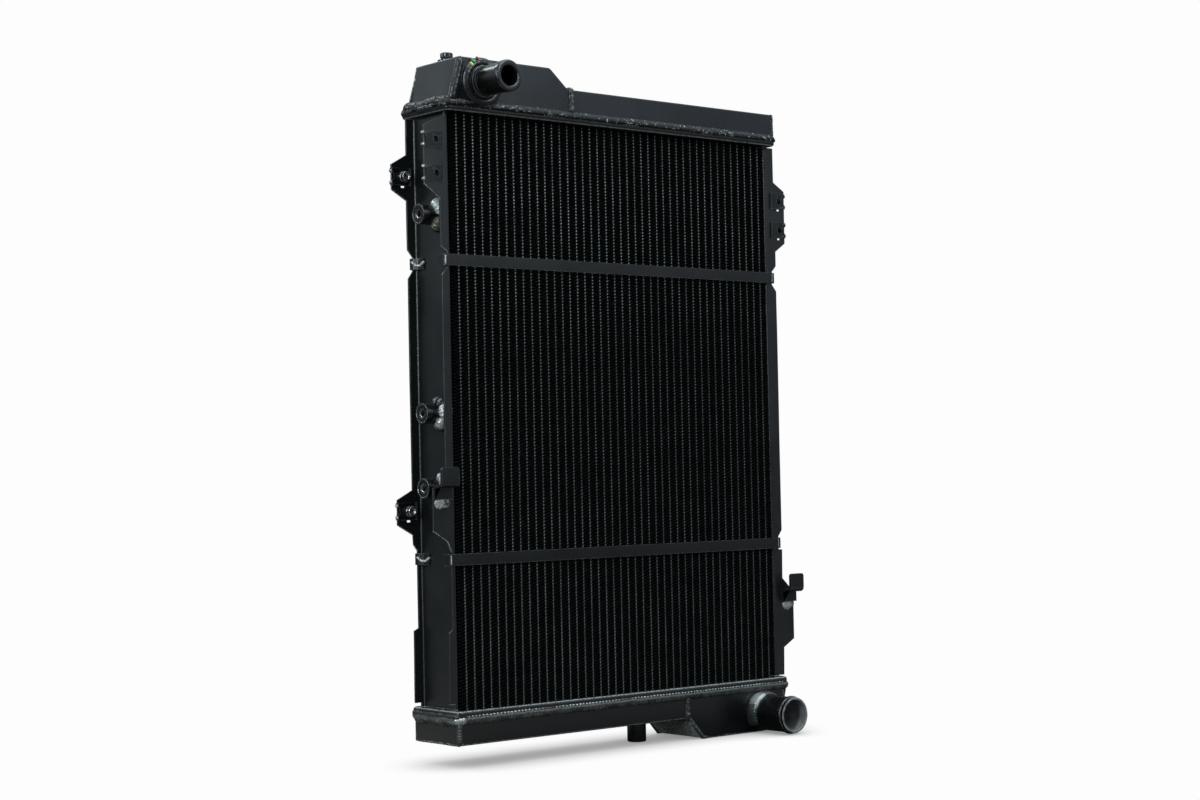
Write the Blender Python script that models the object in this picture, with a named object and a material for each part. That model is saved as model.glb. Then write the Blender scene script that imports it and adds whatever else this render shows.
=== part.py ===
"""Down-flow tube-and-fin oil cooler: brazed core, welded sheet tanks, side channels and fittings.

All sizes are metres. Shapes are drawn about the middle of the core, X across, Y from front to back
and Z up, and an empty then lifts the whole cooler so that the lowest point rests on Z = 0 and the
origin lies under the middle of the overall box.
"""

import math

import bmesh
import bpy
from mathutils import Vector

# Gap kept between two pieces that touch
GAP = 0.0003

# Core
TUBE_COUNT = 42
TUBE_PITCH = 0.0100
TUBE_HALF_WIDTH = 0.0010
TUBE_NOSE_HALF_WIDTH = 0.0005
TUBE_BORE_HALF_WIDTH = 0.0006
TUBE_BORE_HALF_DEPTH = 0.0260
CORE_HALF_DEPTH = 0.0289
FIN_HALF_DEPTH = 0.0279
FIN_HALF_HEIGHT = 0.2885
CORE_HALF_WIDTH = 0.2140
TUBE_END = 0.2980

# Header plates, given for the upper one and mirrored for the lower one
HEADER_FACE = 0.2917
HEADER_SHEET = 0.0020
HEADER_RIM = 0.3000
HEADER_HALF_WIDTH = 0.2245
HEADER_HALF_DEPTH = 0.0395

# Tanks
TANK_SHEET = 0.0025
TANK_HALF_DEPTH = 0.0372
TANK_SEAT = HEADER_FACE + HEADER_SHEET + GAP
UPPER_LOW_TOP = 0.3268
UPPER_TALL_TOP = 0.3465
UPPER_STEP_X = -0.0652
UPPER_SLOPE_TOP_X = -0.0920
UPPER_SLOPE_FOOT_X = -0.0690
UPPER_LEFT_FOOT_X = -0.2175
UPPER_LEFT_HEAD_X = -0.2050
UPPER_RIGHT_X = 0.2222
LOWER_MAIN_BOTTOM = -0.3255
LOWER_SUMP_BOTTOM = -0.3480
LOWER_STEP_X = 0.0753
LOWER_SLOPE_FOOT_X = 0.0980
LOWER_LEFT_X = -0.2212
LOWER_RIGHT_HEAD_X = 0.2220
LOWER_RIGHT_FOOT_X = 0.2105

# Ports: places of the axes, which run along Y
INLET_X = -0.1785
INLET_Z = 0.3230
INLET_MOUTH_Y = -0.0820
INLET_RADIUS = 0.0150
INLET_BORE_RADIUS = 0.0100
OUTLET_X = 0.1850
OUTLET_Z = -0.3277
OUTLET_MOUTH_Y = -0.0870
OUTLET_RADIUS = 0.0190
OUTLET_BEAD_RADIUS = 0.0202
OUTLET_BORE_RADIUS = 0.0165

# Bleed screw on the tall box, axis along Z
BLEED_X = -0.1870
BLEED_Y = 0.0100
BLEED_BOSS_RADIUS = 0.0090
BLEED_BOSS_HEIGHT = 0.0050
BLEED_BORE_RADIUS = 0.0040
BLEED_SHANK_RADIUS = 0.0036
BLEED_HEAD_RADIUS = 0.0064
BLEED_RING_RADIUS = 0.0050
BLEED_RING_SECTION = 0.0008

# Bottom locating pin, axis along Z
PIN_X = 0.0360
PIN_RADIUS = 0.0100
PIN_CHAMFER = 0.0012

# Side channels
CHANNEL_SHEET = 0.0020
CHANNEL_INNER_X = 0.2145
CHANNEL_HALF_HEIGHT = 0.2914
EAR_TIP_X = 0.2446

# Straps
STRAP_HEIGHTS = {"upper": 0.1465, "lower": -0.1460}
STRAP_HALF_WIDTH = 0.0057
STRAP_SHEET = 0.0015
STRAP_BEND_X = 0.2216
STRAP_BEND_RADIUS = 0.0022

# Threaded bosses on the left channel, axis along X
BOSS_HEIGHTS = {"upper": 0.1920, "middle": -0.0030, "lower": -0.0760}
BOSS_Y = -0.0090
BOSS_RADIUS = 0.0100
BOSS_LENGTH = 0.0222
BOSS_BORE_RADIUS = 0.0034
BOSS_BORE_DEPTH = 0.0160

# Spring clips with barrel nuts: ear side, face, hole place in X and height
CLIP_PLACES = {
    "left_front_upper": (-1, -1, 0.2305, 0.2636),
    "left_front_lower": (-1, -1, 0.2305, 0.2305),
    "left_rear_upper": (-1, 1, 0.2310, 0.2330),
    "left_rear_lower": (-1, 1, 0.2310, -0.0985),
    "right_front_upper": (1, -1, 0.2355, 0.2323),
    "right_front_lower": (1, -1, 0.2355, 0.2002),
}
CLIP_SHEET = 0.0010
CLIP_EDGE_GAP = 0.0004
CLIP_LEG_END_X = 0.2235
CLIP_HALF_HEIGHT = 0.0085
CLIP_HOLE_RADIUS = 0.0036
SLOTTED_EARS = ("left_rear_upper", "left_rear_lower", "right_front_upper", "right_front_lower")
EAR_SLOT_DROP = 0.0098
EAR_SLOT_HALF_WIDTH = 0.0025
EAR_SLOT_HALF_HEIGHT = 0.0010
NUT_RADIUS = 0.0052
NUT_BORE_RADIUS = 0.0026
NUT_LENGTH = 0.0060

# Hook brackets: X range and height of the bend between lug and shelf
HOOK_SHEET = 0.0030
HOOK_REACH_Y = -0.0440
HOOK_LUG_DROP = 0.0140
HOOK_TAB_RISE = 0.0170
HOOK_PLACES = {
    "left": (-0.2410, -0.2200, -0.0730),
    "right": (0.2262, 0.2460, -0.1970),
}

# Where the middle of the core stands above the origin
FRONT_Y = OUTLET_MOUTH_Y
REAR_Y = HEADER_HALF_DEPTH
CORE_PLACE = Vector((0.0, -(FRONT_Y + REAR_Y) / 2, -LOWER_SUMP_BOTTOM))

# Outlines of the channel flanges from the ear-free edge, as X outwards and Z, bottom to top
LEFT_FRONT_FLANGE = [
    (0.2259, -0.2855), (0.2249, -0.2171), (0.2206, -0.2133), (0.2206, -0.1535),
    (0.2196, -0.1530), (0.2196, -0.1390), (0.2244, -0.1285), (0.2415, -0.1175),
    (0.2415, -0.0760), (0.2257, -0.0700), (0.2255, 0.1314), (0.2197, 0.1382),
    (0.2193, 0.1546), (0.2260, 0.1592), (0.2266, 0.2060), (EAR_TIP_X, 0.2188),
    (EAR_TIP_X, 0.2767), (0.2248, 0.2868),
]
LEFT_REAR_FLANGE = [
    (0.2275, -0.2864), (0.2270, -0.2166), (0.2215, -0.2140), (0.2215, -0.1376),
    (0.2258, -0.1319), (0.2263, -0.1223), (EAR_TIP_X, -0.1120), (EAR_TIP_X, -0.0871),
    (0.2263, -0.0777), (0.2264, 0.1321), (0.2211, 0.1395), (0.2208, 0.1532),
    (0.2268, 0.1606), (0.2269, 0.2094), (EAR_TIP_X, 0.2195), (EAR_TIP_X, 0.2448),
    (0.2262, 0.2553), (0.2262, 0.2880),
]
RIGHT_FRONT_FLANGE = [
    (0.2280, -0.2890), (0.2290, -0.2610), (EAR_TIP_X, -0.2522), (EAR_TIP_X, -0.2000),
    (0.2285, -0.1850), (0.2290, -0.1535), (0.2236, -0.1530), (0.2236, -0.1390),
    (0.2290, -0.1320), (0.2297, 0.1318), (0.2231, 0.1396), (0.2236, 0.1534),
    (0.2298, 0.1600), (0.2299, 0.1760), (EAR_TIP_X, 0.1859), (EAR_TIP_X, 0.2437),
    (0.2287, 0.2532), (0.2287, 0.2884),
]
RIGHT_REAR_FLANGE = [
    (0.2280, -0.2880), (0.2280, -0.1535), (0.2215, -0.1530), (0.2215, -0.1390),
    (0.2280, -0.1320), (0.2280, 0.1321), (0.2215, 0.1395), (0.2215, 0.1532),
    (0.2280, 0.1606), (0.2280, 0.2880),
]


# Materials: base colour, metallic, roughness
FINISHES = {
    "core_black": ((0.012, 0.013, 0.013), 0.4, 0.55),
    "header_black": ((0.022, 0.024, 0.025), 0.5, 0.40),
    "tank_black": ((0.028, 0.031, 0.035), 0.5, 0.38),
    "channel_black": ((0.020, 0.024, 0.024), 0.5, 0.40),
    "strap_black": ((0.022, 0.024, 0.025), 0.5, 0.38),
    "fitting_black": ((0.020, 0.022, 0.023), 0.6, 0.33),
    "outlet_grey": ((0.060, 0.063, 0.066), 0.7, 0.35),
    "clip_steel": ((0.050, 0.051, 0.052), 0.9, 0.30),
    "rubber": ((0.008, 0.008, 0.008), 0.0, 0.70),
}


def make_material(name):
    colour, metallic, roughness = FINISHES[name]
    material = bpy.data.materials.new(name)
    material.use_nodes = True
    shader = material.node_tree.nodes["Principled BSDF"]
    shader.inputs["Base Color"].default_value = (*colour, 1.0)
    shader.inputs["Metallic"].default_value = metallic
    shader.inputs["Roughness"].default_value = roughness
    return material


def clear_scene():
    for item in list(bpy.data.objects):
        bpy.data.objects.remove(item, do_unlink=True)


# Shape tools

def add_object(name, mesh_builder, finish=None, location=(0, 0, 0), smooth=False):
    """Turns a bmesh into a placed object under the cooler's empty; without a finish it is a cutter."""
    bmesh.ops.recalc_face_normals(mesh_builder, faces=mesh_builder.faces[:])
    mesh = bpy.data.meshes.new(name)
    mesh_builder.to_mesh(mesh)
    mesh_builder.free()
    item = bpy.data.objects.new(name, mesh)
    bpy.context.scene.collection.objects.link(item)
    item.parent = bpy.data.objects["cooler"]
    item.location = location
    if finish is None:
        item.hide_render = True
        item.display_type = "WIRE"
    else:
        mesh.materials.append(bpy.data.materials[finish])
    if smooth:
        mesh.shade_smooth()
        mesh.set_sharp_from_angle(angle=math.radians(35))
    return item


def cut(item, cutter):
    """Subtracts the cutter from the item."""
    modifier = item.modifiers.new("cut_" + cutter.name, "BOOLEAN")
    modifier.operation = "DIFFERENCE"
    modifier.solver = "EXACT"
    modifier.object = cutter


def join(item, other):
    """Adds the other shape to the item, so that the two are one body."""
    modifier = item.modifiers.new("join_" + other.name, "BOOLEAN")
    modifier.operation = "UNION"
    modifier.solver = "EXACT"
    modifier.object = other


def on_axis(axis, across, up, along):
    """Places a flat point on the plane square to an axis, at a distance along that axis."""
    if axis == "X":
        return Vector((along, across, up))
    if axis == "Y":
        return Vector((across, along, up))
    return Vector((across, up, along))


def prism(outline, axis, low, high):
    """Closed solid: a flat outline drawn out along an axis."""
    bm = bmesh.new()
    near = [bm.verts.new(on_axis(axis, a, b, low)) for a, b in outline]
    far = [bm.verts.new(on_axis(axis, a, b, high)) for a, b in outline]
    bm.faces.new(near)
    bm.faces.new(list(reversed(far)))
    count = len(outline)
    for k in range(count):
        after = (k + 1) % count
        bm.faces.new((near[k], near[after], far[after], far[k]))
    return bm


def box(low, high):
    """Closed box between two corners."""
    outline = [(low[0], low[1]), (high[0], low[1]), (high[0], high[1]), (low[0], high[1])]
    return prism(outline, "Z", low[2], high[2])


def turned(profile, axis, segments=24, closed=True):
    """Solid of revolution of (radius, height) points about an axis through the local origin."""
    bm = bmesh.new()
    rings = []
    for radius, height in profile:
        if radius < 1e-6:
            rings.append([bm.verts.new(on_axis(axis, 0.0, 0.0, height))])
            continue
        ring = []
        for k in range(segments):
            angle = math.tau * k / segments
            across = radius * math.cos(angle)
            up = radius * math.sin(angle)
            ring.append(bm.verts.new(on_axis(axis, across, up, height)))
        rings.append(ring)
    pairs = list(zip(rings, rings[1:]))
    if closed:
        pairs.append((rings[-1], rings[0]))
    for one, two in pairs:
        for k in range(segments):
            after = (k + 1) % segments
            corners = []
            for ring, place in ((one, k), (one, after), (two, after), (two, k)):
                vert = ring[place % len(ring)]
                if vert not in corners:
                    corners.append(vert)
            bm.faces.new(corners)
    return bm


def offset_path(path, distance):
    """Open path moved sideways, to its left, by a distance, with mitred corners."""
    points = [Vector(p) for p in path]
    normals = []
    for one, two in zip(points, points[1:]):
        run = (two - one).normalized()
        normals.append(Vector((-run.y, run.x)))
    moved = []
    for k, point in enumerate(points):
        before = normals[max(k - 1, 0)]
        after = normals[min(k, len(normals) - 1)]
        middle = before + after
        moved.append(tuple(point + middle * (2 * distance / middle.length_squared)))
    return moved


def rounded_path(path, radius, steps=3):
    """Open path whose inner corners become arcs of a radius."""
    points = [Vector(p) for p in path]
    result = [tuple(points[0])]
    for before, corner, after in zip(points, points[1:], points[2:]):
        back = (before - corner).normalized()
        ahead = (after - corner).normalized()
        half = math.acos(max(-1.0, min(1.0, back.dot(ahead)))) / 2
        middle = (back + ahead).normalized()
        centre = corner + middle * (radius / math.sin(half))
        start = (corner + back * (radius / math.tan(half))) - centre
        end = (corner + ahead * (radius / math.tan(half))) - centre
        sweep = start.angle_signed(end)
        for step in range(steps + 1):
            angle = -sweep * step / steps
            turn_x = start.x * math.cos(angle) - start.y * math.sin(angle)
            turn_y = start.x * math.sin(angle) + start.y * math.cos(angle)
            result.append((centre.x + turn_x, centre.y + turn_y))
    result.append(tuple(points[-1]))
    return result


def ribbon(path, thickness):
    """Outline of a sheet that follows a path, with the sheet on the path's left."""
    return list(path) + list(reversed(offset_path(path, thickness)))


# Core and headers

def tube_places():
    middle = (TUBE_COUNT - 1) / 2
    return [(k - middle) * TUBE_PITCH for k in range(TUBE_COUNT)]


def make_core():
    """Brazed block: hollow flat tubes that stand out of the fin packs at all four sides."""
    bm = bmesh.new()
    levels = (-TUBE_END, -FIN_HALF_HEIGHT, FIN_HALF_HEIGHT, TUBE_END)

    def pillar(x, y, heights):
        return [bm.verts.new((x, y, z)) for z in heights]

    def wall(one, two, low, high):
        bm.faces.new((one[low], two[low], two[high], one[high]))

    edge = [pillar(-CORE_HALF_WIDTH, y, levels[1:3]) for y in (-FIN_HALF_DEPTH, FIN_HALF_DEPTH)]
    bm.faces.new((edge[0][0], edge[1][0], edge[1][1], edge[0][1]))
    for place in tube_places():
        outer = [
            pillar(place - TUBE_HALF_WIDTH, -FIN_HALF_DEPTH, levels),
            pillar(place - TUBE_NOSE_HALF_WIDTH, -CORE_HALF_DEPTH, levels),
            pillar(place + TUBE_NOSE_HALF_WIDTH, -CORE_HALF_DEPTH, levels),
            pillar(place + TUBE_HALF_WIDTH, -FIN_HALF_DEPTH, levels),
            pillar(place + TUBE_HALF_WIDTH, FIN_HALF_DEPTH, levels),
            pillar(place + TUBE_NOSE_HALF_WIDTH, CORE_HALF_DEPTH, levels),
            pillar(place - TUBE_NOSE_HALF_WIDTH, CORE_HALF_DEPTH, levels),
            pillar(place - TUBE_HALF_WIDTH, FIN_HALF_DEPTH, levels),
        ]
        bore = []
        for x, y in ((-1, -1), (1, -1), (1, 1), (-1, 1)):
            across = place + x * TUBE_BORE_HALF_WIDTH
            bore.append(pillar(across, y * TUBE_BORE_HALF_DEPTH, (levels[0], levels[3])))
        for k in range(8):
            after = (k + 1) % 8
            wall(outer[k], outer[after], 0, 1)
            wall(outer[k], outer[after], 2, 3)
            if k not in (3, 7):
                wall(outer[k], outer[after], 1, 2)
        for k in range(4):
            wall(bore[k], bore[(k + 1) % 4], 0, 1)
        for level, bore_level in ((0, 0), (3, 1)):
            rim = [column[level] for column in outer]
            hole = [column[bore_level] for column in bore]
            bm.faces.new((rim[0], rim[1], rim[2], rim[3], hole[1], hole[0]))
            bm.faces.new((rim[3], rim[4], hole[2], hole[1]))
            bm.faces.new((rim[4], rim[5], rim[6], rim[7], hole[3], hole[2]))
            bm.faces.new((rim[7], rim[0], hole[0], hole[3]))
        close_fin(bm, edge, [outer[0][1:3], outer[7][1:3]])
        edge = [outer[3][1:3], outer[4][1:3]]
    last = [pillar(CORE_HALF_WIDTH, y, levels[1:3]) for y in (-FIN_HALF_DEPTH, FIN_HALF_DEPTH)]
    bm.faces.new((last[0][0], last[1][0], last[1][1], last[0][1]))
    close_fin(bm, edge, last)
    add_object("core_matrix", bm, "core_black")


def close_fin(bm, left, right):
    """Front, back, top and bottom faces of one fin pack between two tubes."""
    for left_side, right_side in zip(left, right):
        bm.faces.new((left_side[0], right_side[0], right_side[1], left_side[1]))
    for level in (0, 1):
        bm.faces.new((left[0][level], right[0][level], right[1][level], left[1][level]))


def make_header(name, side):
    """Slotted pan that the tube ends pass through; side is 1 for the upper and -1 for the lower."""
    heights = sorted((side * HEADER_FACE, side * HEADER_RIM))
    half_width = HEADER_HALF_WIDTH
    half_depth = HEADER_HALF_DEPTH
    pan_shape = box((-half_width, -half_depth, heights[0]), (half_width, half_depth, heights[1]))
    pan = add_object(name, pan_shape, "header_black")
    reach = sorted((side * (HEADER_FACE + HEADER_SHEET), side * (HEADER_RIM + HEADER_SHEET)))
    inner_width = half_width - HEADER_SHEET
    inner_depth = half_depth - HEADER_SHEET
    hollow = box((-inner_width, -inner_depth, reach[0]), (inner_width, inner_depth, reach[1]))
    cut(pan, add_object(name + "_hollow_cutter", hollow))
    slots = bmesh.new()
    through = sorted((side * (HEADER_FACE - HEADER_SHEET), side * HEADER_RIM))
    for place in tube_places():
        slot = box(
            (place - TUBE_HALF_WIDTH - GAP, -CORE_HALF_DEPTH - GAP, through[0]),
            (place + TUBE_HALF_WIDTH + GAP, CORE_HALF_DEPTH + GAP, through[1]),
        )
        mesh = bpy.data.meshes.new("slot")
        slot.to_mesh(mesh)
        slot.free()
        slots.from_mesh(mesh)
        bpy.data.meshes.remove(mesh)
    cut(pan, add_object(name + "_slot_cutter", slots))


# Tanks

def make_folded_shell(name, fold, ends, seat, inward):
    """Sheet folded over a tank: front and rear walls from the fold line down to the seat.

    fold is the outer line of the folded side, ends are the X places of its two feet at the seat,
    and inward is the side of the fold line that the tank's inside is on.
    """
    outline = [(ends[0], seat)] + fold + [(ends[1], seat)]
    shell = add_object(name, prism(outline, "Y", -TANK_HALF_DEPTH, TANK_HALF_DEPTH), "tank_black")
    reach = 0.02
    first = (fold[0][0] - reach, fold[0][1])
    last = (fold[-1][0] + reach, fold[-1][1])
    inner_fold = offset_path([first] + fold[1:-1] + [last], inward * TANK_SHEET)
    past_seat = seat - math.copysign(0.005, fold[0][1])
    hollow = [(first[0], past_seat)] + inner_fold + [(last[0], past_seat)]
    inner_depth = TANK_HALF_DEPTH - TANK_SHEET
    cut(shell, add_object(name + "_hollow_cutter", prism(hollow, "Y", -inner_depth, inner_depth)))
    return shell


def make_end_plate(name, foot, head):
    """Flat tank end: foot and head are its outer X and Z at the header and at the far edge."""
    inward = -math.copysign(TANK_SHEET - GAP, foot[0])
    outline = [foot, head, (head[0] + inward, head[1]), (foot[0] + inward, foot[1])]
    plate = prism(outline, "Y", -TANK_HALF_DEPTH, TANK_HALF_DEPTH)
    add_object(name, plate, "tank_black")


def drill_wall(shell, x, z, radius):
    """Round port hole through a tank's front wall."""
    profile = [(0.0, -0.006), (radius, -0.006), (radius, 0.006), (0.0, 0.006)]
    hole = turned(profile, "Y", segments=32, closed=False)
    wall_middle = -TANK_HALF_DEPTH + TANK_SHEET / 2
    cut(shell, add_object(shell.name + "_port_cutter", hole, location=(x, wall_middle, z)))


def make_upper_tank():
    left_foot = UPPER_LEFT_FOOT_X + TANK_SHEET
    left_head = UPPER_LEFT_HEAD_X + TANK_SHEET
    tall_fold = [
        (left_head, UPPER_TALL_TOP), (UPPER_SLOPE_TOP_X, UPPER_TALL_TOP),
        (UPPER_SLOPE_FOOT_X, UPPER_LOW_TOP), (UPPER_STEP_X, UPPER_LOW_TOP),
    ]
    tall = make_folded_shell(
        "upper_tall_shell", tall_fold, (left_foot, UPPER_STEP_X), TANK_SEAT, -1
    )
    drill_wall(tall, INLET_X, INLET_Z, INLET_BORE_RADIUS)
    bleed_profile = [(0.0, -0.008), (BLEED_BORE_RADIUS, -0.008), (BLEED_BORE_RADIUS, 0.004), (0.0, 0.004)]
    bleed_hole = turned(bleed_profile, "Z", segments=20, closed=False)
    cutter = add_object("bleed_cutter", bleed_hole, location=(BLEED_X, BLEED_Y, UPPER_TALL_TOP))
    cut(tall, cutter)

    low_left = UPPER_STEP_X + GAP
    low_right = UPPER_RIGHT_X - TANK_SHEET
    low_fold = [(low_left, UPPER_LOW_TOP), (low_right, UPPER_LOW_TOP)]
    make_folded_shell("upper_low_shell", low_fold, (low_left, low_right), TANK_SEAT, -1)
    make_end_plate(
        "upper_left_end_plate",
        (UPPER_LEFT_FOOT_X, TANK_SEAT), (UPPER_LEFT_HEAD_X, UPPER_TALL_TOP),
    )
    make_end_plate(
        "upper_right_end_plate", (UPPER_RIGHT_X, TANK_SEAT), (UPPER_RIGHT_X, UPPER_LOW_TOP)
    )


def make_lower_tank():
    main_left = LOWER_LEFT_X + TANK_SHEET
    main_right = LOWER_STEP_X - GAP
    main_fold = [(main_left, LOWER_MAIN_BOTTOM), (main_right, LOWER_MAIN_BOTTOM)]
    make_folded_shell("lower_main_shell", main_fold, (main_left, main_right), -TANK_SEAT, 1)
    sump_head = LOWER_RIGHT_HEAD_X - TANK_SHEET
    sump_foot = LOWER_RIGHT_FOOT_X - TANK_SHEET
    sump_fold = [
        (LOWER_STEP_X, LOWER_MAIN_BOTTOM), (LOWER_STEP_X + 0.0002, LOWER_MAIN_BOTTOM),
        (LOWER_SLOPE_FOOT_X, LOWER_SUMP_BOTTOM), (sump_foot, LOWER_SUMP_BOTTOM),
    ]
    sump = make_folded_shell("lower_sump_shell", sump_fold, (LOWER_STEP_X, sump_head), -TANK_SEAT, 1)
    drill_wall(sump, OUTLET_X, OUTLET_Z, OUTLET_BORE_RADIUS)
    make_end_plate("lower_left_end_plate", (LOWER_LEFT_X, -TANK_SEAT), (LOWER_LEFT_X, LOWER_MAIN_BOTTOM))
    make_end_plate(
        "lower_right_end_plate",
        (LOWER_RIGHT_HEAD_X, -TANK_SEAT), (LOWER_RIGHT_FOOT_X, LOWER_SUMP_BOTTOM),
    )


# Ports and fittings

def make_inlet():
    """Thick-walled neck with a root groove for its ring and a collar at the mouth."""
    root = -TANK_HALF_DEPTH - GAP
    length = root - INLET_MOUTH_Y
    groove_near = 0.0060
    groove_far = 0.0090
    groove_radius = INLET_RADIUS - 0.0022
    collar_radius = INLET_RADIUS + 0.0008
    profile = [
        (INLET_BORE_RADIUS, 0.0), (INLET_RADIUS + 0.0010, 0.0),
        (INLET_RADIUS + 0.0010, -groove_near), (groove_radius, -groove_near),
        (groove_radius, -groove_far), (INLET_RADIUS, -groove_far),
        (INLET_RADIUS, -length + 0.0070), (collar_radius, -length + 0.0055),
        (collar_radius, -length + 0.0030), (INLET_RADIUS - 0.0012, -length),
        (INLET_BORE_RADIUS + 0.0012, -length), (INLET_BORE_RADIUS, -length + 0.0012),
    ]
    place = (INLET_X, root, INLET_Z)
    add_object("inlet_neck", turned(profile, "Y", 28), "fitting_black", place, smooth=True)
    section = (groove_far - groove_near) / 2 - GAP
    ring_radius = groove_radius + section + GAP
    ring_place = (INLET_X, root - (groove_near + groove_far) / 2, INLET_Z)
    ring = turned(ring_section(ring_radius, section, 6), "Y", 24)
    add_object("inlet_o_ring", ring, "rubber", ring_place, smooth=True)


def ring_section(radius, section, steps):
    """Round section of a ring, as (radius, height) points."""
    points = []
    for k in range(steps):
        angle = math.tau * k / steps
        points.append((radius + section * math.cos(angle), section * math.sin(angle)))
    return points


def make_outlet():
    """Thin-walled beaded neck at the sump."""
    root = -TANK_HALF_DEPTH - GAP
    length = root - OUTLET_MOUTH_Y
    profile = [
        (OUTLET_BORE_RADIUS, 0.0), (OUTLET_RADIUS, 0.0), (OUTLET_RADIUS, -length + 0.0095),
        (OUTLET_BEAD_RADIUS, -length + 0.0078), (OUTLET_BEAD_RADIUS, -length + 0.0056),
        (OUTLET_RADIUS, -length + 0.0040), (OUTLET_RADIUS, -length + 0.0006),
        (OUTLET_RADIUS - 0.0006, -length), (OUTLET_BORE_RADIUS, -length),
    ]
    place = (OUTLET_X, root, OUTLET_Z)
    add_object("outlet_neck", turned(profile, "Y", 32), "outlet_grey", place, smooth=True)


def make_bleed_screw():
    """Boss on the highest corner, plug and ring; the plug's origin lies on its screw axis."""
    seat = UPPER_TALL_TOP + GAP
    boss_profile = [
        (BLEED_BORE_RADIUS, 0.0), (BLEED_BOSS_RADIUS, 0.0),
        (BLEED_BOSS_RADIUS, BLEED_BOSS_HEIGHT - 0.0008),
        (BLEED_BOSS_RADIUS - 0.0008, BLEED_BOSS_HEIGHT), (BLEED_BORE_RADIUS, BLEED_BOSS_HEIGHT),
    ]
    boss_place = (BLEED_X, BLEED_Y, seat)
    add_object("bleed_boss", turned(boss_profile, "Z", 24), "fitting_black", boss_place, smooth=True)

    top = seat + BLEED_BOSS_HEIGHT
    ring_height = 2 * BLEED_RING_SECTION + GAP
    ring_place = (BLEED_X, BLEED_Y, top + GAP + BLEED_RING_SECTION)
    ring = turned(ring_section(BLEED_RING_RADIUS, BLEED_RING_SECTION, 6), "Z", 20)
    add_object("bleed_seal", ring, "rubber", ring_place, smooth=True)

    under = ring_height + GAP
    head_top = under + 0.0046
    socket_radius = 0.0028
    plug_profile = [
        (0.0, -0.0090), (BLEED_SHANK_RADIUS - 0.0006, -0.0090), (BLEED_SHANK_RADIUS, -0.0084),
        (BLEED_SHANK_RADIUS, under), (BLEED_HEAD_RADIUS - 0.0004, under),
        (BLEED_HEAD_RADIUS, under + 0.0004), (BLEED_HEAD_RADIUS, head_top - 0.0012),
        (BLEED_HEAD_RADIUS - 0.0012, head_top), (socket_radius, head_top),
        (socket_radius, head_top - 0.0030), (0.0, head_top - 0.0030),
    ]
    plug = turned(plug_profile, "Z", 24, closed=False)
    add_object("bleed_plug", plug, "fitting_black", (BLEED_X, BLEED_Y, top), smooth=True)


def make_locating_pin():
    head = LOWER_MAIN_BOTTOM - GAP
    length = head - LOWER_SUMP_BOTTOM
    profile = [
        (0.0, 0.0), (PIN_RADIUS, 0.0), (PIN_RADIUS, -length + PIN_CHAMFER),
        (PIN_RADIUS - PIN_CHAMFER, -length), (0.0, -length),
    ]
    pin = turned(profile, "Z", 24, closed=False)
    add_object("locating_pin", pin, "fitting_black", (PIN_X, 0.0, head), smooth=True)


# Sides and fixings

def make_channel(name, side, front_outline, rear_outline):
    """Folded channel: base against the fins, front and rear flanges turned outwards."""
    faces = sorted((side * CHANNEL_INNER_X, side * (CHANNEL_INNER_X + CHANNEL_SHEET)))
    fold_y = CORE_HALF_DEPTH - CHANNEL_SHEET / 2
    base = box(
        (faces[0], -fold_y, -CHANNEL_HALF_HEIGHT), (faces[1], fold_y, CHANNEL_HALF_HEIGHT)
    )
    channel = add_object(name, base, "channel_black")
    for place, face, outline in (("front", -1, front_outline), ("rear", 1, rear_outline)):
        points = [(side * x, z) for x, z in outline]
        low = (side * CHANNEL_INNER_X, points[0][1])
        high = (side * CHANNEL_INNER_X, points[-1][1])
        depths = sorted((face * CORE_HALF_DEPTH, face * (CORE_HALF_DEPTH - CHANNEL_SHEET)))
        flange = prism([low] + points + [high], "Y", depths[0], depths[1])
        join(channel, add_object(name + "_" + place + "_flange_tool", flange))
        for clip, (clip_side, clip_face, hole_x, hole_z) in CLIP_PLACES.items():
            if (clip_side, clip_face) != (side, face):
                continue
            profile = [(0.0, -0.004), (CLIP_HOLE_RADIUS, -0.004), (CLIP_HOLE_RADIUS, 0.004), (0.0, 0.004)]
            hole = turned(profile, "Y", segments=16, closed=False)
            middle = face * (CORE_HALF_DEPTH - CHANNEL_SHEET / 2)
            spot = (side * hole_x, middle, hole_z)
            cut(channel, add_object(clip + "_ear_cutter", hole, location=spot))
            if clip in SLOTTED_EARS:
                slot_z = hole_z - EAR_SLOT_DROP
                slot = box(
                    (side * hole_x - EAR_SLOT_HALF_WIDTH, middle - 0.004, slot_z - EAR_SLOT_HALF_HEIGHT),
                    (side * hole_x + EAR_SLOT_HALF_WIDTH, middle + 0.004, slot_z + EAR_SLOT_HALF_HEIGHT),
                )
                cut(channel, add_object(clip + "_slot_cutter", slot))


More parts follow.
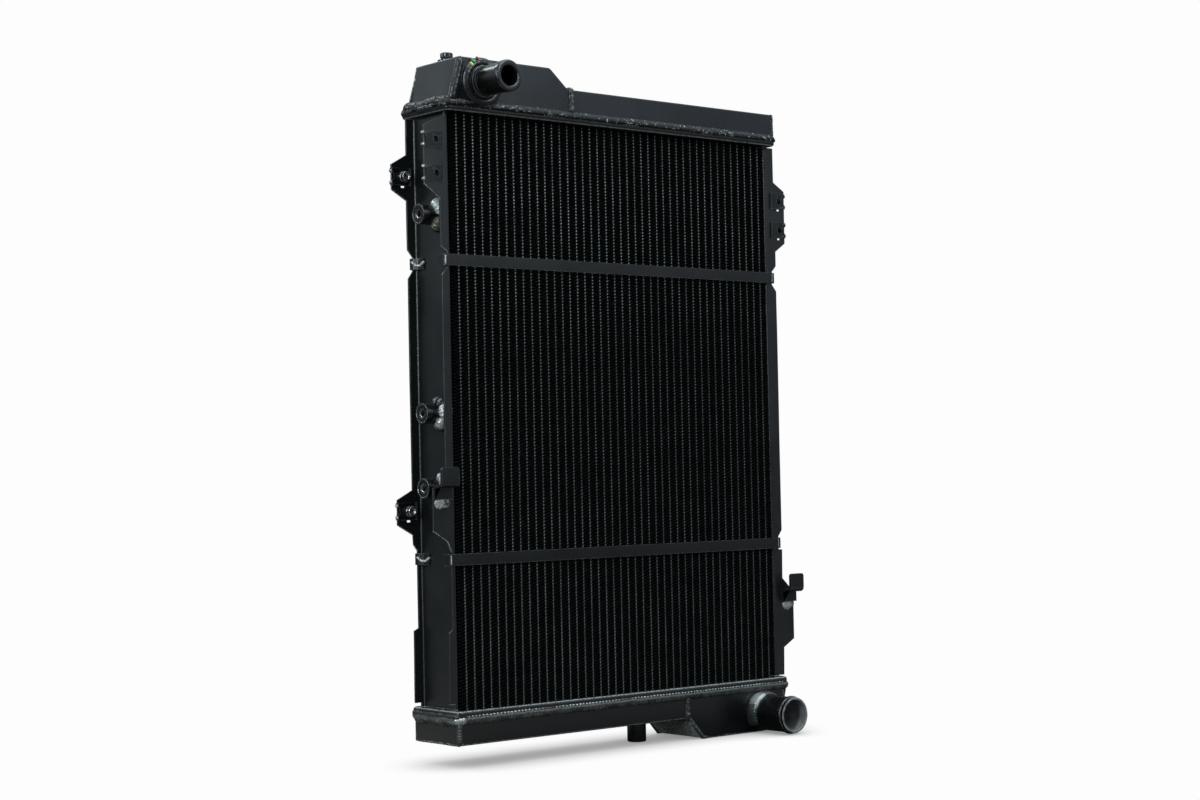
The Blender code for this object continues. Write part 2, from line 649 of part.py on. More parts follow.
def make_clips():
    """Spring clips over the ears, each with the barrel nut it holds."""
    for name, (side, face, hole_x, hole_z) in CLIP_PLACES.items():
        outside = face * (CORE_HALF_DEPTH + GAP + CLIP_SHEET)
        inside = face * (CORE_HALF_DEPTH - CHANNEL_SHEET - GAP - CLIP_SHEET)
        tip = side * (EAR_TIP_X + CLIP_EDGE_GAP + CLIP_SHEET)
        end = side * CLIP_LEG_END_X
        path = [(end, outside), (tip, outside), (tip, inside), (end, inside)]
        towards_ear = -side * face
        outline = ribbon(path, towards_ear * CLIP_SHEET)
        shape = prism(outline, "Z", hole_z - CLIP_HALF_HEIGHT, hole_z + CLIP_HALF_HEIGHT)
        clip = add_object(name + "_clip", shape, "clip_steel")
        profile = [(0.0, -0.006), (NUT_BORE_RADIUS, -0.006), (NUT_BORE_RADIUS, 0.006), (0.0, 0.006)]
        hole = turned(profile, "Y", segments=16, closed=False)
        middle = face * (CORE_HALF_DEPTH - CHANNEL_SHEET / 2)
        spot = (side * hole_x, middle, hole_z)
        cut(clip, add_object(name + "_clip_cutter", hole, location=spot))
        seat = inside - face * GAP
        far = -face * NUT_LENGTH
        edge = -face * (NUT_LENGTH - 0.0008)
        nut_profile = [
            (NUT_BORE_RADIUS, 0.0), (NUT_RADIUS, 0.0), (NUT_RADIUS, edge),
            (NUT_RADIUS - 0.0008, far), (NUT_BORE_RADIUS, far),
        ]
        nut = turned(nut_profile, "Y", 16)
        place = (side * hole_x, seat, hole_z)
        add_object(name + "_nut", nut, "clip_steel", place, smooth=True)


def make_front_strap(level, height):
    """Straight strap across the front whose ends turn back round the channel edges."""
    face = -CORE_HALF_DEPTH - GAP
    turn_back = face + 0.0095
    path = [
        (-STRAP_BEND_X - GAP, turn_back), (-STRAP_BEND_X - GAP, face),
        (STRAP_BEND_X + 0.0040, face), (STRAP_BEND_X + 0.0040, turn_back),
    ]
    outline = ribbon(rounded_path(path, STRAP_BEND_RADIUS), -STRAP_SHEET)
    shape = prism(outline, "Z", height - STRAP_HALF_WIDTH, height + STRAP_HALF_WIDTH)
    add_object("front_" + level + "_strap", shape, "strap_black")


def make_rear_strap(level, height):
    """Strap across the rear whose ends return forwards and lie down on the channel bases."""
    face = CORE_HALF_DEPTH + GAP
    edge_x = STRAP_BEND_X + GAP
    base_x = CHANNEL_INNER_X + CHANNEL_SHEET + GAP
    flange_inside = CORE_HALF_DEPTH - CHANNEL_SHEET
    half = [
        (edge_x, face), (edge_x, flange_inside - 0.0015), (base_x, flange_inside - 0.0065),
        (base_x, 0.0130),
    ]
    path = [(-x, y) for x, y in reversed(half)] + half
    outline = ribbon(path, STRAP_SHEET)
    shape = prism(outline, "Z", height - STRAP_HALF_WIDTH, height + STRAP_HALF_WIDTH)
    add_object("rear_" + level + "_strap", shape, "strap_black")


def make_side_bosses():
    """Blind threaded bosses that stand on the left channel's base."""
    seat = -(CHANNEL_INNER_X + CHANNEL_SHEET + GAP)
    for level, height in BOSS_HEIGHTS.items():
        profile = [
            (0.0, 0.0), (BOSS_RADIUS, 0.0), (BOSS_RADIUS, -BOSS_LENGTH + 0.0010),
            (BOSS_RADIUS - 0.0010, -BOSS_LENGTH), (BOSS_BORE_RADIUS, -BOSS_LENGTH),
            (BOSS_BORE_RADIUS, -BOSS_LENGTH + BOSS_BORE_DEPTH),
            (0.0, -BOSS_LENGTH + BOSS_BORE_DEPTH),
        ]
        boss = turned(profile, "X", 24, closed=False)
        place = (seat, BOSS_Y, height)
        add_object("side_boss_" + level, boss, "fitting_black", place, smooth=True)


def make_hook_brackets():
    """Bent sheet hooks: lug on the front flange, shelf forwards and a tab that stands up."""
    face = -CORE_HALF_DEPTH - GAP
    for name, (low_x, high_x, bend) in HOOK_PLACES.items():
        path = [
            (face, bend - HOOK_LUG_DROP), (face, bend),
            (HOOK_REACH_Y + HOOK_SHEET, bend), (HOOK_REACH_Y + HOOK_SHEET, bend + HOOK_TAB_RISE),
        ]
        outline = ribbon(path, HOOK_SHEET)
        add_object(name + "_hook_bracket", prism(outline, "X", low_x, high_x), "strap_black")


def main():
    clear_scene()
    for name in FINISHES:
        make_material(name)
    cooler = bpy.data.objects.new("cooler", None)
    bpy.context.scene.collection.objects.link(cooler)
    cooler.location = CORE_PLACE
    make_core()
    make_header("upper_header_plate", 1)
    make_header("lower_header_plate", -1)
    make_upper_tank()
    make_lower_tank()
    make_inlet()
    make_outlet()
    make_bleed_screw()
    make_locating_pin()
    make_channel("left_side_channel", -1, LEFT_FRONT_FLANGE, LEFT_REAR_FLANGE)
    make_channel("right_side_channel", 1, RIGHT_FRONT_FLANGE, RIGHT_REAR_FLANGE)
    make_clips()
    for level, height in STRAP_HEIGHTS.items():
        make_front_strap(level, height)
        make_rear_strap(level, height)
    make_side_bosses()
    make_hook_brackets()
    bpy.context.view_layer.update()


main()
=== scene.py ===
"""Looks of the upright oil cooler: fine meshes, weld beads, finishes, studio and camera.

Every piece is drawn in metres about the middle of the core, X across, Y from front to back and Z up,
and then stands at CORE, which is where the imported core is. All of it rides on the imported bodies.
"""

import math

import bmesh
import bpy
import numpy as np
from mathutils import Matrix, Vector


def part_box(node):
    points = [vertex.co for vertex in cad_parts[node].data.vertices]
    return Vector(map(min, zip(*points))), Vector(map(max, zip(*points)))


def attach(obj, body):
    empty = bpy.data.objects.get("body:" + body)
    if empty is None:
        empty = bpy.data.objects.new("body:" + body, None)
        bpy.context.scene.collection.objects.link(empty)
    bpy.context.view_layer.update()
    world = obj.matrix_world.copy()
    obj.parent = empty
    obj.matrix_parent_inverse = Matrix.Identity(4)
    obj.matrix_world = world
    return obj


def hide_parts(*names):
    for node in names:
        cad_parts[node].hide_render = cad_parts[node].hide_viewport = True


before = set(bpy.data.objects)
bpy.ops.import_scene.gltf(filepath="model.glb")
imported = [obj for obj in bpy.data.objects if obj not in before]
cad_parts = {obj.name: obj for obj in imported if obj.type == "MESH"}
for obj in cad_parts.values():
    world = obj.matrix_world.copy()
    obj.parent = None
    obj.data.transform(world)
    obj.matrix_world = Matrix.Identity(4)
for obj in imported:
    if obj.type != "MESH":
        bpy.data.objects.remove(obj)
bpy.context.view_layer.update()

core_low, core_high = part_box("core_matrix")
CORE = (core_low + core_high) / 2
MM = 0.001


def span(node):
    """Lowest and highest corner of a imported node, measured from the middle of the core."""
    low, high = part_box(node)
    return low - CORE, high - CORE


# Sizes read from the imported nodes
HEADER_LOW, HEADER_HIGH = span("upper_header_plate")
TALL_LOW, TALL_HIGH = span("upper_tall_shell")
SHALLOW_LOW, SHALLOW_HIGH = span("upper_low_shell")
MAIN_LOW, MAIN_HIGH = span("lower_main_shell")
SUMP_LOW, SUMP_HIGH = span("lower_sump_shell")
LEFT_PLATE_LOW, LEFT_PLATE_HIGH = span("upper_left_end_plate")
RIGHT_PLATE_HIGH = span("upper_right_end_plate")[1]
LOW_LEFT_PLATE_LOW = span("lower_left_end_plate")[0]
LOW_RIGHT_PLATE_LOW, LOW_RIGHT_PLATE_HIGH = span("lower_right_end_plate")
CHANNEL_HIGH = span("left_side_channel")[1]
CORE_HALF_DEPTH = (core_high.y - core_low.y) / 2
TUBE_END = (core_high.z - core_low.z) / 2
TANK_HALF_DEPTH = TALL_HIGH.y
TANK_SEAT = TALL_LOW.z
RIM = HEADER_HIGH.z

FIN_HALF_HEIGHT = HEADER_LOW.z - 0.9 * MM

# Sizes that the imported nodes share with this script, and those of the fin strips
TUBE_COUNT = 42
TUBE_PITCH = 10.0 * MM
TUBE_HALF_WIDTH = 1.0 * MM
FIN_LEG_RISE = 1.66 * MM
FIN_SHEET = 0.15 * MM
TANK_SHEET = 2.5 * MM
SHEET = 2.0 * MM
CHANNEL_INNER_X = 214.5 * MM
SLOPE_TOP_X = -92.0 * MM
SLOPE_FOOT_X = -69.0 * MM
SUMP_SLOPE_FOOT_X = 98.0 * MM
LEFT_HEAD_X = LEFT_PLATE_HIGH.x - TANK_SHEET


# Node material helpers

def add(tree, kind, inputs, **settings):
    """Adds a shader node; each input is another node's output or a plain value."""
    made = tree.nodes.new("ShaderNode" + kind)
    for key, value in settings.items():
        setattr(made, key, value)
    for key, value in inputs.items():
        if isinstance(value, bpy.types.NodeSocket):
            tree.links.new(value, made.inputs[key])
        else:
            made.inputs[key].default_value = value
    return made


def spread(tree, value, low, high, to_low=0.0, to_high=1.0):
    """Maps a value's range onto another, clamped."""
    sizes = {"Value": value, "From Min": low, "From Max": high, "To Min": to_low, "To Max": to_high}
    return add(tree, "MapRange", sizes).outputs["Result"]


def combine(tree, operation, one, two):
    """Result of a Math node."""
    return add(tree, "Math", {0: one, 1: two}, operation=operation).outputs[0]


def times(tree, one, two):
    return combine(tree, "MULTIPLY", one, two)


def blend_colour(tree, factor, one, two):
    """Colour one where the factor is 0 and colour two where it is 1."""
    colours = {0: factor, 6: one, 7: two}
    return add(tree, "Mix", colours, data_type="RGBA").outputs[2]


def noise(tree, place, scale, detail=3.0, roughness=0.5):
    """Noise over the object's own coordinates, from 0 to 1."""
    sizes = {"Vector": place, "Scale": scale, "Detail": detail, "Roughness": roughness}
    return add(tree, "TexNoise", sizes).outputs["Fac"]


def opaque(colour):
    return (*colour, 1.0)


def start_material(name, metallic, specular=0.5):
    """New material, with its node tree, its shader and the object coordinates."""
    material = bpy.data.materials.new(name)
    material.use_nodes = True
    tree = material.node_tree
    shader = tree.nodes["Principled BSDF"]
    shader.inputs["Metallic"].default_value = metallic
    shader.inputs["Specular IOR Level"].default_value = specular
    place = add(tree, "TexCoord", {}).outputs["Object"]
    return material, tree, shader, place


def add_bump(tree, shader, height, distance, strength=1.0):
    """Fine relief from a height, in metres."""
    sizes = {"Height": height, "Distance": distance, "Strength": strength}
    bump = add(tree, "Bump", sizes)
    tree.links.new(bump.outputs["Normal"], shader.inputs["Normal"])


def coated(name, colour, roughness, metallic=0.0, specular=0.5, worn=0.16, edge_wear_and_highlight=0.5, level=1.0, rub=0.7):
    """Satin black coating with cloudy gloss, fine orange peel, lighter edges that are partly rubbed paint and partly
    painted highlight, and uncoated patches.
    """
    material, tree, shader, place = start_material(name, metallic, specular)
    cloud = noise(tree, place, 16.0, 4.0, 0.6)
    grain = noise(tree, place, 620.0, 2.0)
    dark = [0.78 * c for c in colour]
    light = [1.22 * c for c in colour]
    base = blend_colour(tree, spread(tree, cloud, 0.32, 0.68), opaque(dark), opaque(light))
    # Lighter edges, where a rounded normal departs from the flat one: partly rubbed paint, partly a painted highlight
    # on the edge
    rounded = add(tree, "Bevel", {"Radius": rub * MM}, samples=4).outputs["Normal"]
    flat = add(tree, "NewGeometry", {}).outputs["Normal"]
    facing = add(tree, "VectorMath", {0: rounded, 1: flat}, operation="DOT_PRODUCT").outputs["Value"]
    edge = spread(tree, facing, 0.995, 0.90)
    rubbed = spread(tree, noise(tree, place, 140.0, 5.0, 0.7), 0.36, 0.66, 0.25, 1.0)
    # Edges that face down get the most, a painted highlight from the bright floor below them; level is the share left
    # on the others
    down = add(tree, "SeparateXYZ", {"Vector": rounded}).outputs["Z"]
    edge = times(tree, edge, spread(tree, down, -0.10, -0.35, level, 1.0))
    edge_wear_and_highlight_mask = times(tree, times(tree, edge, rubbed), edge_wear_and_highlight)
    base = blend_colour(tree, edge_wear_and_highlight_mask, base, opaque([worn] * 3))
    # Uncoated patches from an attribute: bare metal on some pieces, painted highlights on others, such as the header,
    # channel and lower tank bends and the clip prongs
    bare_and_highlight = add(tree, "Attribute", {}, attribute_name="bare_and_highlight").outputs["Fac"]
    shown = times(tree, bare_and_highlight, spread(tree, noise(tree, place, 420.0, 4.0), 0.35, 0.60, 0.25, 1.0))
    tree.links.new(blend_colour(tree, shown, base, (0.70, 0.73, 0.72, 1)), shader.inputs["Base Color"])
    gloss = spread(tree, cloud, 0.30, 0.70, roughness - 0.05, roughness + 0.06)
    streak = spread(tree, noise(tree, place, 900.0, 2.0), 0.2, 0.8, -0.04, 0.04)
    tree.links.new(combine(tree, "ADD", gloss, streak), shader.inputs["Roughness"])
    add_bump(tree, shader, grain, 0.03 * MM, 0.5)
    return material


def weld_metal(name, colour, bare_colour, roughness=0.36, glint=0.10, pitted=0.6, specular=0.5):
    """Coated filler metal: ripple crests get a painted highlight, and a bead's uncoated patches show aluminium."""
    material, tree, shader, place = start_material(name, 0.0, specular)
    crest = add(tree, "Attribute", {}, attribute_name="crest").outputs["Fac"]
    bare_and_highlight = add(tree, "Attribute", {}, attribute_name="bare_and_highlight").outputs["Fac"]
    cloud = noise(tree, place, 90.0, 4.0, 0.6)
    grain = noise(tree, place, 1400.0, 3.0)
    # Painted highlight: the ripple crests are lightened to the glint tone
    lit = times(tree, spread(tree, crest, 0.62, 1.0), spread(tree, cloud, 0.40, 0.62))
    base = blend_colour(tree, lit, opaque(colour), opaque([glint] * 3))
    patch = noise(tree, place, 260.0, 4.0, 0.65)
    shown = spread(tree, combine(tree, "ADD", bare_and_highlight, times(tree, patch, 0.9)), 0.80, 0.94)
    raw = blend_colour(tree, grain, opaque([0.55 * c for c in bare_colour]), opaque(bare_colour))
    tree.links.new(blend_colour(tree, shown, base, raw), shader.inputs["Base Color"])
    tree.links.new(times(tree, shown, 0.45), shader.inputs["Metallic"])
    gloss = spread(tree, cloud, 0.3, 0.7, roughness - 0.06, roughness + 0.08)
    tree.links.new(gloss, shader.inputs["Roughness"])
    add_bump(tree, shader, grain, 0.05 * MM, pitted)
    return material


def tube_metal():
    """Tube with a braze fillet at each fin crest: its nose carries a painted highlight, a thin line that breaks into
    dots.
    """
    material, tree, shader, place = start_material("tube_black", 0.0, 0.15)
    axes = add(tree, "SeparateXYZ", {"Vector": place}).outputs
    height = axes["Z"]
    jitter = noise(tree, place, 420.0, 2.0)
    turns = times(tree, height, math.tau / (2 * FIN_LEG_RISE))
    turns = combine(tree, "ADD", turns, times(tree, jitter, 0.7))
    wave = combine(tree, "SINE", turns, 0.0)
    nose_highlight = combine(tree, "MAXIMUM", spread(tree, wave, 0.1, 0.8), spread(tree, height, -0.06, -0.24, 0.0, 0.28))
    patch = noise(tree, place, 30.0, 4.0, 0.6)
    nose_highlight = times(tree, nose_highlight, spread(tree, patch, 0.3, 0.62, 0.30, 1.0))
    # The painted highlight is strongest in the upper part and on the inlet's side, a painted falloff of the light
    nose_highlight = times(tree, nose_highlight, spread(tree, height, 0.06, 0.20, 0.44, 1.0))
    nose_highlight = times(tree, nose_highlight, spread(tree, axes["X"], -0.10, 0.10, 1.0, 0.70))
    # The painted highlight is kept to a narrow line down each shoulder of a nose
    normal = add(tree, "NewGeometry", {}).outputs["Normal"]
    folded = add(tree, "VectorMath", {0: normal}, operation="ABSOLUTE").outputs["Vector"]
    facing = add(tree, "VectorMath", {0: folded, 1: (0.50, 0.866, 0)}, operation="DOT_PRODUCT").outputs["Value"]
    nose_highlight = times(tree, nose_highlight, spread(tree, facing, 0.955, 0.99))
    base = blend_colour(tree, nose_highlight, (0.0015, 0.002, 0.002, 1), (0.600, 0.650, 0.635, 1))
    tree.links.new(base, shader.inputs["Base Color"])
    tree.links.new(spread(tree, nose_highlight, 0.0, 1.0, 0.52, 0.30), shader.inputs["Roughness"])
    add_bump(tree, shader, wave, 0.12 * MM, 0.7)
    return material


def cloudy(name, cloud, grain, mix, dark, light, gloss, bump, metallic=0.0, specular=0.5):
    """Surface whose colour and gloss follow one noise and whose fine bumps follow another, or the same."""
    material, tree, shader, place = start_material(name, metallic, specular)
    cloud = noise(tree, place, *cloud)
    grain = noise(tree, place, *grain) if grain else cloud
    factor = spread(tree, cloud, *mix) if mix else cloud
    tree.links.new(blend_colour(tree, factor, opaque(dark), opaque(light)), shader.inputs["Base Color"])
    tree.links.new(spread(tree, cloud, *gloss), shader.inputs["Roughness"])
    add_bump(tree, shader, grain, bump[0] * MM, bump[1])
    return material


def paint(name, colour):
    """Dab of marking paint, thinner in patches."""
    thin = [0.6 * c for c in colour]
    return cloudy(name, (500.0, 3.0), None, (0.35, 0.65), thin, colour, (0.3, 0.7, 0.35, 0.5), (0.05, 0.6))


ALUMINIUM = (0.50, 0.53, 0.52)
FINISH = {
    # Thin fin strip with a dusty matt coating
    "fin": cloudy("fin_black", (60.0, 4.0, 0.65), (1500.0, 2.0), (0.3, 0.7), (0.003, 0.005, 0.005),
                  (0.009, 0.013, 0.012), (0.2, 0.8, 0.52, 0.72), (0.02, 0.5), specular=0.22),
    "tube": tube_metal(),
    # One black paint throughout: the upper tank's bluer, lighter tone, the end plates' lighter one and the lower
    # tank's darker one are painted light and shade, set to how each part is lit; the channel's edges are lightened
    # almost only where they face down, as a painted highlight
    "header": coated("header_satin", (0.006, 0.007, 0.008), 0.25, worn=0.26, edge_wear_and_highlight=0.8),
    "tank": coated("tank_satin", (0.0065, 0.0085, 0.0125), 0.30, worn=0.22, edge_wear_and_highlight=0.7),
    "plate": coated("plate_satin", (0.013, 0.015, 0.017), 0.33, worn=0.30, edge_wear_and_highlight=0.9),
    "lower": coated("lower_tank_satin", (0.004, 0.0045, 0.005), 0.27, worn=0.70, edge_wear_and_highlight=0.9),
    "channel": coated("channel_satin", (0.006, 0.0075, 0.008), 0.31, worn=0.95, edge_wear_and_highlight=1.0, level=0.05),
    "strap": coated("strap_satin", (0.005, 0.006, 0.0065), 0.28, worn=0.34, edge_wear_and_highlight=0.8, level=0.4),
    "fitting": coated("fitting_gloss", (0.0035, 0.004, 0.004), 0.20, specular=0.7, worn=0.30, edge_wear_and_highlight=0.9),
    "boss": coated("boss_gloss", (0.003, 0.0035, 0.0035), 0.24, worn=0.55, edge_wear_and_highlight=1.0, rub=0.4),
    "outlet": coated("outlet_gloss", (0.004, 0.0045, 0.0045), 0.25, worn=0.60, edge_wear_and_highlight=1.0),
    # Uncoated aluminium inside the outlet
    "bore": cloudy("bore_bare", (70.0, 5.0, 0.65), (1100.0, 2.0), (0.35, 0.65), (0.16, 0.165, 0.165),
                   (0.30, 0.31, 0.31), (0.3, 0.7, 0.38, 0.52), (0.03, 0.6), metallic=0.35),
    "clip": coated("clip_gloss", (0.006, 0.007, 0.008), 0.24, metallic=0.2, worn=0.40, edge_wear_and_highlight=0.6, level=0.5),
    "weld": weld_metal("weld_black", (0.002, 0.0025, 0.003), ALUMINIUM, 0.25, 0.035, 0.9, 0.15),
    "fillet": weld_metal("weld_smooth", (0.011, 0.012, 0.013), ALUMINIUM, 0.27, 0.015, 0.02),
    "grey": weld_metal("weld_grey", (0.026, 0.028, 0.028), ALUMINIUM, 0.27, 0.24, 0.30),
    "pale": weld_metal("weld_pale", (0.050, 0.053, 0.052), ALUMINIUM, 0.30, 0.30, 0.35),
    "mint": weld_metal("weld_mint", (0.012, 0.013, 0.012), (0.62, 0.72, 0.67), 0.34, 0.16, 0.60),
    "olive": weld_metal("weld_olive", (0.012, 0.013, 0.009), (0.13, 0.14, 0.10), 0.34, 0.12, 0.35),
    "silver": weld_metal("weld_silver", (0.012, 0.013, 0.013), (0.62, 0.65, 0.64), 0.28, 0.30, 0.35),
    "nut": cloudy("nut_bright", (300.0, 4.0), None, None, (0.26, 0.27, 0.28), (0.62, 0.63, 0.64),
                  (0.3, 0.7, 0.18, 0.34), (0.02, 0.4), metallic=1.0),
    "rubber": cloudy("rubber_black", (1200.0, 3.0), None, None, [0.006] * 3, [0.016] * 3,
                     (0.3, 0.7, 0.55, 0.75), (0.03, 0.6), specular=0.35),
    "green": paint("paint_green", (0.10, 0.52, 0.22)),
    "yellow": paint("paint_yellow", (0.80, 0.86, 0.22)),
    "red": paint("paint_red", (0.42, 0.05, 0.08)),
}


# Mesh helpers

def build_mesh(name, points, faces):
    """Mesh with its faces turned outwards."""
    mesh = bpy.data.meshes.new(name)
    mesh.from_pydata([tuple(p) for p in points], [], faces)
    builder = bmesh.new()
    builder.from_mesh(mesh)
    bmesh.ops.recalc_face_normals(builder, faces=builder.faces[:])
    builder.to_mesh(mesh)
    builder.free()
    return mesh


def evaluated(item):
    """Mesh of an object with its modifiers applied."""
    depsgraph = bpy.context.evaluated_depsgraph_get()
    return bpy.data.meshes.new_from_object(item.evaluated_get(depsgraph))


def baked(mesh, bevel=0.0, steps=3, cutters=(), edge=0.0, sharp=35.0):
    """Mesh with its sharp edges rounded, the cutters taken out, and shading weighted to the flats."""
    scene = bpy.context.scene
    item = bpy.data.objects.new("work", mesh)
    scene.collection.objects.link(item)
    tools = []

    def round_edges(width, segments):
        modifier = item.modifiers.new("round", "BEVEL")
        modifier.width = width
        modifier.segments = segments
        modifier.limit_method = "ANGLE"
        modifier.angle_limit = math.radians(40)

    if bevel:
        round_edges(bevel, steps)
    for cutter in cutters:
        tool = bpy.data.objects.new("tool", cutter)
        scene.collection.objects.link(tool)
        tools.append(tool)
        modifier = item.modifiers.new("cut", "BOOLEAN")
        modifier.operation = "DIFFERENCE"
        modifier.solver = "EXACT"
        modifier.object = tool
    if edge:
        round_edges(edge, 2)
    shaped = evaluated(item)
    for thing in (item, *tools):
        bpy.data.objects.remove(thing)
    shaped.shade_smooth()
    shaped.set_sharp_from_angle(angle=math.radians(sharp))
    item = bpy.data.objects.new("work", shaped)
    scene.collection.objects.link(item)
    weighted = item.modifiers.new("weigh", "WEIGHTED_NORMAL")
    weighted.keep_sharp = True
    result = evaluated(item)
    bpy.data.objects.remove(item)
    return result


def show(name, mesh, finish, nodes=(), body="cooler", bare_and_highlight=None):
    """Places a finished mesh as a piece that rides on a body and stands for the named nodes."""
    if bare_and_highlight:
        corners = np.array([tuple(v.co) for v in mesh.vertices])
        mesh.attributes.new("bare_and_highlight", "FLOAT", "POINT").data.foreach_set("value", bare_and_highlight(corners))
    mesh.materials.clear()
    mesh.materials.append(FINISH[finish])
    item = bpy.data.objects.new(name, mesh)
    bpy.context.scene.collection.objects.link(item)
    item.location = CORE
    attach(item, body)
    if nodes:
        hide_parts(*nodes)
    return item


def axes_of(axis):
    """Unit vectors across, up and along for shapes that are drawn square to an axis."""
    return {
        "X": (Vector((0, 1, 0)), Vector((0, 0, 1)), Vector((1, 0, 0))),
        "Y": (Vector((1, 0, 0)), Vector((0, 0, 1)), Vector((0, 1, 0))),
        "Z": (Vector((1, 0, 0)), Vector((0, 1, 0)), Vector((0, 0, 1))),
    }[axis]


def prism(outline, axis, low, high):
    """Closed solid: a flat outline drawn out along an axis."""
    across, up, along = axes_of(axis)
    count = len(outline)
    points = [across * a + up * b + along * d for d in (low, high) for a, b in outline]
    faces = [list(range(count)), list(range(2 * count - 1, count - 1, -1))]
    faces += [(k, (k + 1) % count, count + (k + 1) % count, count + k) for k in range(count)]
    return build_mesh("prism", points, faces)


def turned(profile, axis, place, segments=72):
    """Solid of revolution of a closed loop of (radius, height) points about an axis through a place."""
    across, up, along = axes_of(axis)
    points = []
    for radius, height in profile:
        for k in range(segments):
            angle = math.tau * k / segments
            ring = across * math.cos(angle) + up * math.sin(angle)
            points.append(place + ring * max(radius, 1e-5) + along * height)
    faces = []
    rows = len(profile)
    for row in range(rows):
        after = (row + 1) % rows
        for k in range(segments):
            turn = (k + 1) % segments
            faces.append((
                row * segments + k, row * segments + turn, after * segments + turn, after * segments + k,
            ))
    return build_mesh("turned", points, faces)


def filleted(points, cut, steps=5, closed=True):
    """Path whose corners are rounded off from a given distance before each corner."""
    points = [Vector(p) for p in points]
    count = len(points)
    result = []
    for k, corner in enumerate(points):
        if not closed and k in (0, count - 1):
            result.append(corner)
            continue
        before = points[k - 1] - corner
        after = points[(k + 1) % count] - corner
        reach = min(cut, 0.45 * before.length, 0.45 * after.length)
        start = corner + before.normalized() * reach
        end = corner + after.normalized() * reach
        for step in range(steps + 1):
            t = step / steps
            result.append(start * (1 - t) ** 2 + corner * (2 * t * (1 - t)) + end * t ** 2)
    return result


def offset_path(path, distance, closed=False):
    """Path moved sideways, to its left, by a distance, with mitred corners."""
    points = [Vector(p) for p in path]
    count = len(points)
    moved = []
    for k, point in enumerate(points):
        ahead = points[(k + 1) % count] - point if closed or k < count - 1 else point - points[k - 1]
        back = point - points[k - 1] if closed or k > 0 else ahead
        one = Vector((-back.y, back.x)).normalized()
        two = Vector((-ahead.y, ahead.x)).normalized()
        middle = one + two
        moved.append(point + middle * (2 * distance / middle.length_squared))
    return moved


def ribbon(path, thickness):
    """Outline of a sheet that follows a path, with the sheet on the path's left."""
    return list(path) + list(reversed(offset_path(path, thickness)))


def quarter(steps, first=0):
    """Shares of a radius, 1 less the sine and 1 less the cosine, at each step of a quarter turn."""
    angles = [math.pi / 2 * step / steps for step in range(first, steps + 1)]
    return [(1 - math.sin(angle), 1 - math.cos(angle)) for angle in angles]


def rim_of(radius, height, cut, steps=5, first=1):
    """Quarter round from a profile's side onto its end at a height; a negative cut is for the lower end."""
    return [(radius - abs(cut) * inward, height - cut * drop) for drop, inward in quarter(steps, first)]


def o_ring(major, height, section, sides):
    """Profile of a round ring at a height."""
    return [(major + section * math.cos(a), height + section * math.sin(a))
            for a in np.linspace(0, math.tau, sides, endpoint=False)]


def disc(axis, place, radius, reach, segments=48):
    """Round cutter about a place."""
    return turned([(0, -reach), (radius, -reach), (radius, reach), (0, reach)], axis, Vector(place), segments)


def block(low, high):
    """Square cutter between two corners."""
    outline = [(low[0], low[1]), (high[0], low[1]), (high[0], high[1]), (low[0], high[1])]
    return prism(outline, "Z", low[2], high[2])


def sweep_mesh(rows, closed):
    """Mesh over an array of cross-sections, each a closed loop, joined end to end or capped."""
    count, around = rows.shape[:2]
    faces = []
    for k in range(count if closed else count - 1):
        near = k * around
        far = ((k + 1) % count) * around
        faces += [(near + j, near + (j + 1) % around, far + (j + 1) % around, far + j) for j in range(around)]
    if not closed:
        faces.append(tuple(range(around)))
        faces.append(tuple(range(count * around - 1, (count - 1) * around - 1, -1)))
    return build_mesh("sweep", rows.reshape(-1, 3), faces)


# Weld beads

def evenly(points, normals, step, closed):
    """Path points and normals at an even step, with the distance of each along the path."""
    points = np.array(points, float)
    normals = np.array(normals, float)
    if closed:
        points = np.vstack([points, points[:1]])
        normals = np.vstack([normals, normals[:1]])
    lengths = np.linalg.norm(np.diff(points, axis=0), axis=1)
    along = np.concatenate([[0.0], np.cumsum(lengths)])
    count = max(4, int(round(along[-1] / step)))
    places = np.linspace(0.0, along[-1], count + 1)
    if closed:
        places = places[:-1]
    point = np.stack([np.interp(places, along, points[:, k]) for k in range(3)], axis=1)
    normal = np.stack([np.interp(places, along, normals[:, k]) for k in range(3)], axis=1)
    normal /= np.linalg.norm(normal, axis=1, keepdims=True)
    return point, normal, places, along[-1]


